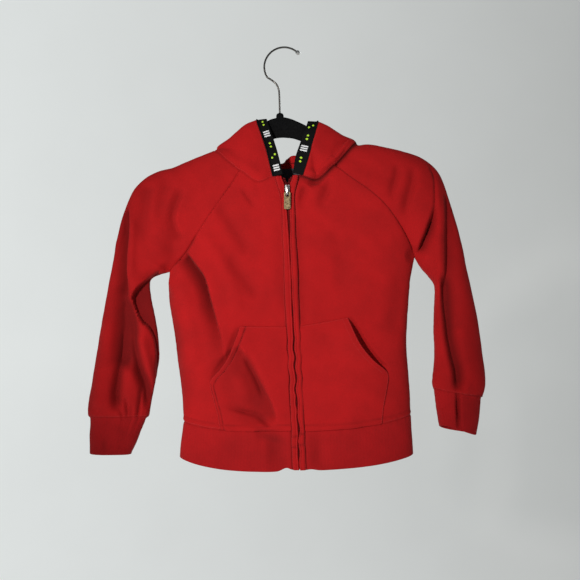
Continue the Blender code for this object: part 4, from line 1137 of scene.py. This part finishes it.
def relief(piece, kind, left_side):
    """Seams, puckers, rolls and pinches of a piece, as heights over its grid."""
    x, y, z = (piece.grid[..., i] for i in range(3))
    height = seamed(piece, SEWN[kind], RIPPLE.get(kind, 0.32))
    for edge in SEWN[kind]:
        height = height - seam_shade(piece, kind, edge, left_side, piece.away(edge))
    if kind in ("front", "back", "pocket"):                    # double edge above the hem band, with a painted shade line above it
        d = piece.away("foot")
        height = height + 0.7 * bell(d - 3.6, 1.7)
        piece.darken(0.4 * bell(d - 7, 1.1))
    if kind == "pocket" and not left_side:                     # wide fold along its mouth, with painted shade in its grooves
        d, mouth = piece.away("last"), smooth((z + 272) / 8)
        groove = (mouth * bell(d - 8, 1.3)
                  + (1 - mouth) * (0.7 * bell(d - 2.5, 1.0) + 0.9 * bell(d - 6.5, 1.2)))
        groove = groove * (0.75 + 0.25 * waves(0 * d, z, 9, 3))
        height = height - 1.2 * groove + 0.5 * mouth * (1 - smooth((d - 6) / 3))
        piece.darken(groove)
    if kind == "hood":
        first, up = piece.away("first"), piece.away("foot")
        height = height - 0.6 * bell(first, 1.6) - 0.6 * bell(piece.away("top"), 1.6)
        rise, at, wide = (5.5, 6.5, 4.5) if left_side else (2.0, 9.0, 7.0)
        ahead = smooth(first / 12) * smooth((2 - y) / 8)
        height = height - piece.folds() + rise * ahead * bell(up - at, wide)
    if kind == "placket":
        height = height + welt(piece.away("last"), 0.9, 40, 1.5) - 0.7 * uneven(piece.grid)
        height = height - 0.6 * bell(piece.away("first") - 2.6, 0.8)
        height = height + 0.25 * waves(x, z, 17, 31)
        for at in (-343.0, -357.0):                            # pinches on the hem band, with painted shade in them
            pinch = bell(z - at - 3 * left_side, 1.8)
            height = height - 1.1 * pinch
            piece.darken(0.45 * pinch)
    if kind == "front":                                        # it sinks at the pocket's mouth; painted shade beside the mouth on the right front
        side = LEFT if left_side else RIGHT
        mouth = [(wide, z) for z, wide in POCKET[side][:5]]
        away, where, _ = beside(x * side, z, mouth)
        height = height - (7 if left_side else 2.5) * smooth(where / 0.25) * smooth(
            (1 - where) / 0.2) * (1 - smooth((away - 3) / 6))
        if not left_side:
            along = smooth(where / 0.1) * smooth((1 - where) / 0.1)
            piece.darken(0.55 * along * bell(away, 4.5))
    return height


shown = {}
for name, piece in pieces.items():
    kind = name.split("_")[0]
    if name == "hood_tape":
        lift = 1.75 * (1 - smooth(piece.u / 2.6))
        piece.move(lift + 0.25 * waves(piece.v, piece.u, 24, 21))
        shown[name] = shell(piece, ALL)
    else:
        piece.move(relief(piece, kind, name.endswith("left")))
        shown[name] = shell(piece, FREE.get(kind, ()),
                            "fleece_inside" if piece.slot == "fleece_red" else None)

# ---------------------------------------------------------------- marks on the tape

MARK_HIGH, MARK_EDGE, MARK_POINTS = 0.3, 0.25, 9
MARK_START, MARK_STEP = 11.0, 17.0     # along the tape
BAR, DOT = (4.2, 1.05), (1.5, 1.5)     # half widths


def on(piece, u, v, lift):
    """Points on a piece's outer face at distances u across and v along it."""
    us, vs = piece.u.mean(0), piece.v.mean(1)
    j, i = np.interp(u, us, range(len(us))), np.interp(v, vs, range(len(vs)))
    a, b = np.minimum(i.astype(int), len(vs) - 2), np.minimum(j.astype(int), len(us) - 2)
    s, t = (i - a)[..., None], (j - b)[..., None]
    face, up = (mix(mix(f[a, b], f[a, b + 1], t), mix(f[a + 1, b], f[a + 1, b + 1], t), s)
                for f in (piece.outer, piece.normal))
    return face + up * lift


def marks(name, piece, shapes, slot):
    """Thin woven marks lying on a piece: blocks (u, v, half widths) or dots."""
    points, faces, n = [], [], MARK_POINTS
    one = np.linspace(-1, 1, n)
    rim = [i * n + j for i, j in rim_of(n, n)]
    for u, v, hu, hv, is_dot in shapes:
        base, under = len(points), len(points) + n * n
        a, b = np.meshgrid(one, one, indexing="ij")
        if is_dot:
            a, b = a * np.sqrt(1 - b * b / 2), b * np.sqrt(1 - a * a / 2)
        reach = np.hypot(a, b) if is_dot else np.maximum(abs(a), abs(b))
        high = np.clip(1.6 * (1 - reach) * min(hu, hv) / MARK_EDGE, 0, 1) * MARK_HIGH
        for lift in (0.02 + high[..., None], -0.1):
            points += list(on(piece, u + a * hu, v + b * hv, lift).reshape(-1, 3))
        faces += [q[::-1] for q in quads_of(n, n, base)] + quads_of(n, n, under)
        faces += [(base + r, base + q, under + q, under + r)
                  for q, r in zip(rim, rim[1:] + rim[:1])]
    return solid(name, place(points), faces, [slot])


tape = pieces["hood_tape"]
middle = 0.75 + tape.u.mean(0)[-1] / 2
bars, dots = [], []
for k, v in enumerate(np.arange(MARK_START, tape.v.mean(1)[-1] - 8, MARK_STEP)):
    if k % 5 in (0, 3):
        bars += [(middle, v + d, *BAR, False) for d in (-3.3, 0, 3.3)]
    else:
        pair = ((-2.4, -2.0), (2.4, 2.0)) if k % 5 == 1 else ((0, -2.6), (0, 2.6))
        dots += [(middle + d, v + e, *DOT, True) for d, e in pair]
extras = [(marks("tape_bars", tape, bars, "mark_white"), "garment", "tape_black"),
          (marks("tape_dots", tape, dots, "mark_lime"), "garment", "tape_black")]

# ---------------------------------------------------------------- topstitching

# rows of stitches: piece, its side, and how far in from it
TOPSTITCH = (("front", "first", 1.8), ("front", "foot", 2.2), ("sleeve", "foot", 2.2),
             ("placket", "first", 1.4), ("placket", "last", 1.6), ("hood", "foot", 2.0),
             ("hood", "first", 3.4), ("hood", "top", 3.4), ("pocket", "last", 1.6),
             ("pocket", "top", 1.8), ("pocket", "last", 8.0, 0.02, 4 / 7))
lines = [line_at(pieces[name + "_" + word], *where) for word in WORD.values()
         for name, *where in TOPSTITCH]
lines.append(line_at(pieces["back"], "foot", 2.2))
extras.append((sew("stitches", lines, "thread_red"), "garment", "fleece_red"))
lines = [line_at(tape, "first", 1.0), line_at(tape, "last", 1.0)]
extras.append((sew("tape_stitches", lines, "tape_black", 2.2, 1.6, 0.2), "garment",
               "tape_black"))

# ---------------------------------------------------------------- zip

def block(at, half, cut=0.25):
    """Loops of a small block with its edges cut off."""
    hx, hy, hz = half
    c = cut * min(half)
    corners = ((-hx, -hy + c), (-hx + c, -hy), (hx - c, -hy), (hx, -hy + c),
               (hx, hy - c), (hx - c, hy), (-hx + c, hy), (-hx, hy - c))
    return [[(at[0] + x * s, at[1] + y * s, at[2] + z) for x, y in corners]
            for z, s in ((-hz, 0.8), (-hz * 0.6, 1), (hz * 0.6, 1), (hz, 0.8))]


def zip_part(z):
    """How far the two rows of teeth stand apart above the slider."""
    return 3.4 * smooth((z + 6) / 12)


ZIP_HEAD, ZIP_FOOT = 5.0, -387.0
TOOTH, TOOTH_STEP = (1.5, 0.75, 0.62), 1.25                    # half sizes, and the way down
teeth = []
for k, z in enumerate(np.arange(ZIP_HEAD, ZIP_FOOT, -TOOTH_STEP)):
    x = ZIP_X + (1 if k % 2 else -1) * (0.55 + zip_part(z))
    teeth.append(block((x, body_depth(x, z, FRONT) + 0.9, z), TOOTH))
points, faces = tubes(teeth)
extras.append((solid("zip_teeth", place(points), faces, ["teeth_red"], sharp=30), "garment",
               "zip_red", "zip_chain"))
for side, word in WORD.items():
    name = "zip_tape_" + word
    z = np.linspace(ZIP_HEAD + 2, ZIP_FOOT - 1.5, 60 * (3))[:, None]
    x = ZIP_X + side * mix(1.0 + zip_part(z), 7.5 + 0.8 * splay(z), np.linspace(0, 1, 6)[None])
    x, z = np.broadcast_arrays(x, z)
    cloth(name, np.stack((x, body_depth(x, z, FRONT) + 2.1, z), -1), "zip_red", side == LEFT, 0.7)
    shown[name] = shell(pieces[name])

# the slider and its pull tab, in mm of the finished frame about the zip's top
X0, Z0 = (place((ZIP_X, 0, 0)) * 1000)[[0, 2]] + (0.5, 0)


def metal(name, parts, slot, bevel=0.0, segments=3):
    """Object of parts in mm about the zip's top, its edges bevelled."""
    points, faces = [], []
    for some, sides in parts:
        faces += [tuple(len(points) + k for k in face) for face in sides]
        points += [(X0 + x, y, Z0 + z) for x, y, z in some]
    obj = solid(name, np.array(points) / 1000, faces, [slot])
    if bevel:
        edge = obj.modifiers.new("edge", "BEVEL")
        edge.width, edge.segments, edge.limit_method = bevel / 1000, segments, "ANGLE"
        edge.angle_limit = math.radians(30)
    return obj


def plate(outline, front, behind):
    """Flat plate from an outline of (x, z), its faces front and behind in y."""
    n = len(outline)
    points = [(x, y, z) for y in (front, behind) for x, z in outline]
    faces = [tuple(range(n)), tuple(range(2 * n - 1, n - 1, -1))]
    return points, faces + [(k, k + n, (k + 1) % n + n, (k + 1) % n) for k in range(n)]


def ring_plate(outer, inner, front, behind):
    """Flat plate with a hole, from two outlines of as many points."""
    n, faces = len(outer), []
    points = [(x, y, z) for y in (front, behind) for loop in (outer, inner) for x, z in loop]
    for j in range(n):
        k = (j + 1) % n
        faces += [(j, k, k + n, j + n), (j + 2 * n, j + 3 * n, k + 3 * n, k + 2 * n),
                  (j, j + 2 * n, k + 2 * n, k), (j + n, k + n, k + 3 * n, j + 3 * n)]
    return points, faces


def rounded(middle, w, h, r, steps=5):
    """Outline of a rounded rectangle, counterclockwise seen from the front."""
    turns = [math.radians(start + 90 * k / steps) for start in (0, 90, 180, 270)
             for k in range(steps + 1)]
    corners = [c for c in ((1, 1), (-1, 1), (-1, -1), (1, -1)) for _ in range(steps + 1)]
    return [(sx * (w - r) + r * math.cos(a), middle + sz * (h - r) + r * math.sin(a))
            for (sx, sz), a in zip(corners, turns)]


# two shield-shaped plates with a post between them
half_shield = [(0.9, -4.6), (2.3, -4.2), (3.0, -5.2), (3.2, -7.6), (3.15, -12.0), (2.75, -17.6),
               (2.2, -18.9), (1.0, -19.2)]
shield = [(-x, z) for x, z in half_shield] + half_shield[::-1]
post = [(-0.9, -4.4), (-0.9, -9.0), (0.9, -9.0), (0.9, -4.4)]
slider = metal("slider_plates", [plate(shield, -27.2, -26.1), plate(shield, -23.0, -21.9),
                                 plate(post, -26.2, -22.9)], "slider_silver", 0.35)
# the bridge that the tab hangs on: height and depth along it
path = np.array([(-5.6, -27.0), (-5.8, -29.6), (-6.4, -30.9), (-7.8, -31.6), (-10, -31.8),
                 (-15.0, -31.8), (-17.0, -31.6), (-18.0, -30.9), (-18.4, -29.6), (-18.5, -27.0)])
ways = unit(np.gradient(path, axis=0))
bridge = metal("slider_bridge", [tubes([[
    [(1.15 * squarish(c, 0.6), y + dz * 0.62 * squarish(t, 0.6),
      z - dy * 0.62 * squarish(t, 0.6)) for c, t in circle(12)]
    for (z, y), (dz, dy) in zip(path[::-1], ways[::-1])]])], "slider_silver")
tab = metal("pull_tab", [ring_plate(rounded(-26.3, 4.4, 11.7, 1.6), rounded(-18.4, 2.5, 2.4, 1.2),
                                    -29.6, -28.1)], "pull_brass", 0.3)
trim = metal("pull_border", [ring_plate(rounded(-29.0, 3.4, 7.6, 1.0),
                                        rounded(-29.4, 2.7, 6.6, 0.7), -29.95, -29.5)],
             "pull_brass", 0.15, 2)

# ---------------------------------------------------------------- hanger and hook

def hanger_row():
    """Stations of the hanger body: x, top, foot."""
    halves = []
    for side in WORD:
        tip = HANGER_TIP[side]
        reach = [r[:2] for r in run(SHOULDER[side], np.linspace(0, 1, 33))
                 if 112 < r[0] < tip - 3]
        half = [(side * d + HANGER_X, top, foot) for d, top, foot in HANGER[side]]
        half.append((side * 98, 45.5, 27.5))
        half += [(side * x, z - 2.4, z - 2.4 - mix(17, 12, (x - 98) / (tip - 98)))
                 for x, z in reach[::2]]
        half.append((side * tip, reach[-1][1] - 6.0, reach[-1][1] - 11.5))
        halves.append(half)
    return np.array(halves[0][::-1] + halves[1][1:])


stations = hanger_row()
stations = run(stations, np.linspace(0, 1, 5 * len(stations)))
loops = []
for k, (x, top, foot) in enumerate(stations):
    last = 0.55 if k in (0, len(stations) - 1) else 1.0
    loops.append([(x, squarish(c, 0.55) * HANGER_THICK / 2 * last,
                   (top + foot) / 2 + squarish(v, 0.8) * (top - foot) / 2 * last)
                  for c, v in circle(20)])
points, faces = tubes([loops])
hanger = solid("hanger_body", place(points), faces, ["velvet_black"])
BOSS = ((-3.5, 4.6), (-1.0, 5.2), (1.5, 5.2), (3.6, 4.8), (4.9, 3.9), (5.5, 2.4), (5.9, 1.6))
points, faces = tubes([[[(HANGER_X + r * c, r * 0.55 * v, 94.5 + rise) for c, v in circle(20)]
                        for rise, r in BOSS]])
boss = solid("hanger_boss", place(points), faces, ["velvet_black"])


def tube(name, path, radii, slot, sides=16):
    """Round tube along a path of (x, z) in the finished frame."""
    path = np.asarray(path, float)
    loops = [[(x - dz * r * c, r * v, z + dx * r * c) for c, v in circle(sides)]
             for (x, z), (dx, dz), r in zip(path, unit(np.gradient(path, axis=0)), radii)]
    points, faces = tubes([loops])
    return solid(name, points / 1000, faces, [slot])


HOOK_START = math.radians(52)
wire = [(HOOK_RADIUS * math.cos(a), HOOK_RADIUS * math.sin(a) - HOOK_RADIUS)
        for a in np.linspace(HOOK_START, math.radians(213), 60)]
foot = place((HANGER_X, 0, 97)) * 1000
bend = [wire[-1], (-17.5, -45.5), (-12.5, -49.5), (-9.0, -54.0), (-7.0, -60.0), (-6.2, -68.0),
        (foot[0], foot[2] + 0.4)]
wire = wire[:-1] + [tuple(v) for v in run(bend, np.linspace(0, 1, 36))]
hook = tube("hanger_hook", wire, [HOOK_WIRE] * len(wire), "hook_metal")
BULB = ((0.2, 1.35), (0.5, 1.9), (1.1, 2.4), (1.9, 2.8), (2.7, 3.05), (3.4, 3.1), (4.2, 3.02),
        (5.0, 2.8), (5.7, 2.3), (6.2, 1.7), (6.6, 1.0), (6.75, 0.4))
onward = np.array((math.sin(HOOK_START), -math.cos(HOOK_START)))
tip = tube("hook_tip", [wire[0] + onward * d for d, _ in BULB], [r for _, r in BULB],
           "slider_silver", 24)

# ---------------------------------------------------------------- bodies the pieces hang on, and the CAD parts they replace

def belongs(piece, body, slot, *nodes):
    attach(piece, body)
    if nodes:
        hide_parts(*nodes)


for name, obj in shown.items():
    piece = pieces[name]
    belongs(obj, "garment", piece.slot, *([] if name.startswith("zip_tape") else [name]))
for declared in (*extras, (slider, "garment", "slider_silver", "zip_slider"),
                 (bridge, "garment", "slider_silver"),
                 (tab, "pull", "pull_brass", "zip_pull"), (trim, "pull", "pull_brass"),
                 (hanger, "garment", "velvet_black", "hanger_body"),
                 (boss, "garment", "velvet_black"),
                 (hook, "garment", "hook_metal", "hanger_hook"),
                 (tip, "garment", "slider_silver", "hook_tip")):
    belongs(*declared)

# ---------------------------------------------------------------- light, floor and camera

LAMP_WIDE = 0.8


def lamp(name, kind, at, aim, power, colour, roll=0.0):
    data = bpy.data.lights.new(name, kind)
    data.energy, data.color = power, colour
    holder = bpy.data.objects.new(name, data)
    bpy.context.scene.collection.objects.link(holder)
    holder.location = at
    aimed = (Vector(aim) - Vector(at)).to_track_quat("-Z", "Y")
    holder.rotation_euler = (aimed @ Quaternion((0, 0, 1), math.radians(roll))).to_euler()
    if kind == "AREA":
        data.shape, data.size = "DISK", LAMP_WIDE
    return holder


scene = bpy.context.scene
scene.view_settings.view_transform = "Standard"
world = bpy.data.worlds.new("studio")
scene.world = world
world.use_nodes = True
world.node_tree.nodes["Background"].inputs["Color"].default_value = (0.9, 0.97, 1.0, 1)
world.node_tree.nodes["Background"].inputs["Strength"].default_value = 0.16
key = lamp("key", "SPOT", (-0.85, -1.85, -0.05), (-0.005, 0, -0.35), 150, (1.0, 0.97, 0.93), -9)
key.scale = (0.78, 1, 1)
key.data.shadow_soft_size = 0.08
key.data.spot_size, key.data.spot_blend = math.radians(21.8), 0.75
lamp("side", "AREA", (1.2, -1.7, -0.2), (0, 0, -0.3), 1.5, (0.95, 0.98, 1.0))
behind = lamp("back", "AREA", (0.7, 1.6, 0.5), (0, 0, -0.3), 7, (0.95, 0.98, 1.0))
behind.visible_camera = False

FLOOR, WALL_AT, COVE, HALF_WIDE = -1.5, 2.6, 0.9, 3.6
profile = [(-3.0, FLOOR)] + [
    (WALL_AT - COVE + COVE * math.sin(a), FLOOR + COVE - COVE * math.cos(a))
    for a in np.linspace(0, math.pi / 2, 16)] + [(WALL_AT, 2.6)]
studio = bpy.data.meshes.new("studio")
studio.from_pydata([(x, y, z) for y, z in profile for x in (-HALF_WIDE, HALF_WIDE)], [],
                   [q[::-1] for q in quads_of(len(profile), 2)])
studio.shade_smooth()
m = Nodes("studio")
# painted light: the backdrop glows, brightest on the left and darker to the right
across = m.add("SeparateXYZ", {0: m.where()})["X"]
across = m.add("Math", {0: across, 1: 0.28, 2: 0.5}, operation="MULTIPLY_ADD")[0]
painted_backdrop_light = m.ramp(across, 0.1, (0.74, 0.77, 0.76), 0.5, (0.6, 0.62, 0.61), (0.9, (0.4, 0.41, 0.4)))
floor = m.ramp(m.noise(3), 0.3, (0.3, 0.3, 0.3), 0.7, (0.34, 0.34, 0.34))
m.set(Emission_Color=painted_backdrop_light, Emission_Strength=0.84, Roughness=0.9, Base_Color=floor)
studio.materials.append(m.material)
backdrop = bpy.data.objects.new("studio", studio)
scene.collection.objects.link(backdrop)

IMAGE, FOCAL = 580, 833.3              # the image's width and the focal length in its pixels
camera = bpy.data.objects.new("camera", bpy.data.cameras.new("camera"))
scene.collection.objects.link(camera)
camera.location = (0.0693, -1.150, -0.3702)
aim = Vector((0.0086, 0.0, -0.3385)) - camera.location
camera.rotation_euler = aim.to_track_quat("-Z", "Y").to_euler()
camera.data.sensor_width = 36
camera.data.angle = 2 * math.atan(IMAGE / 2 / FOCAL)
scene.camera = camera
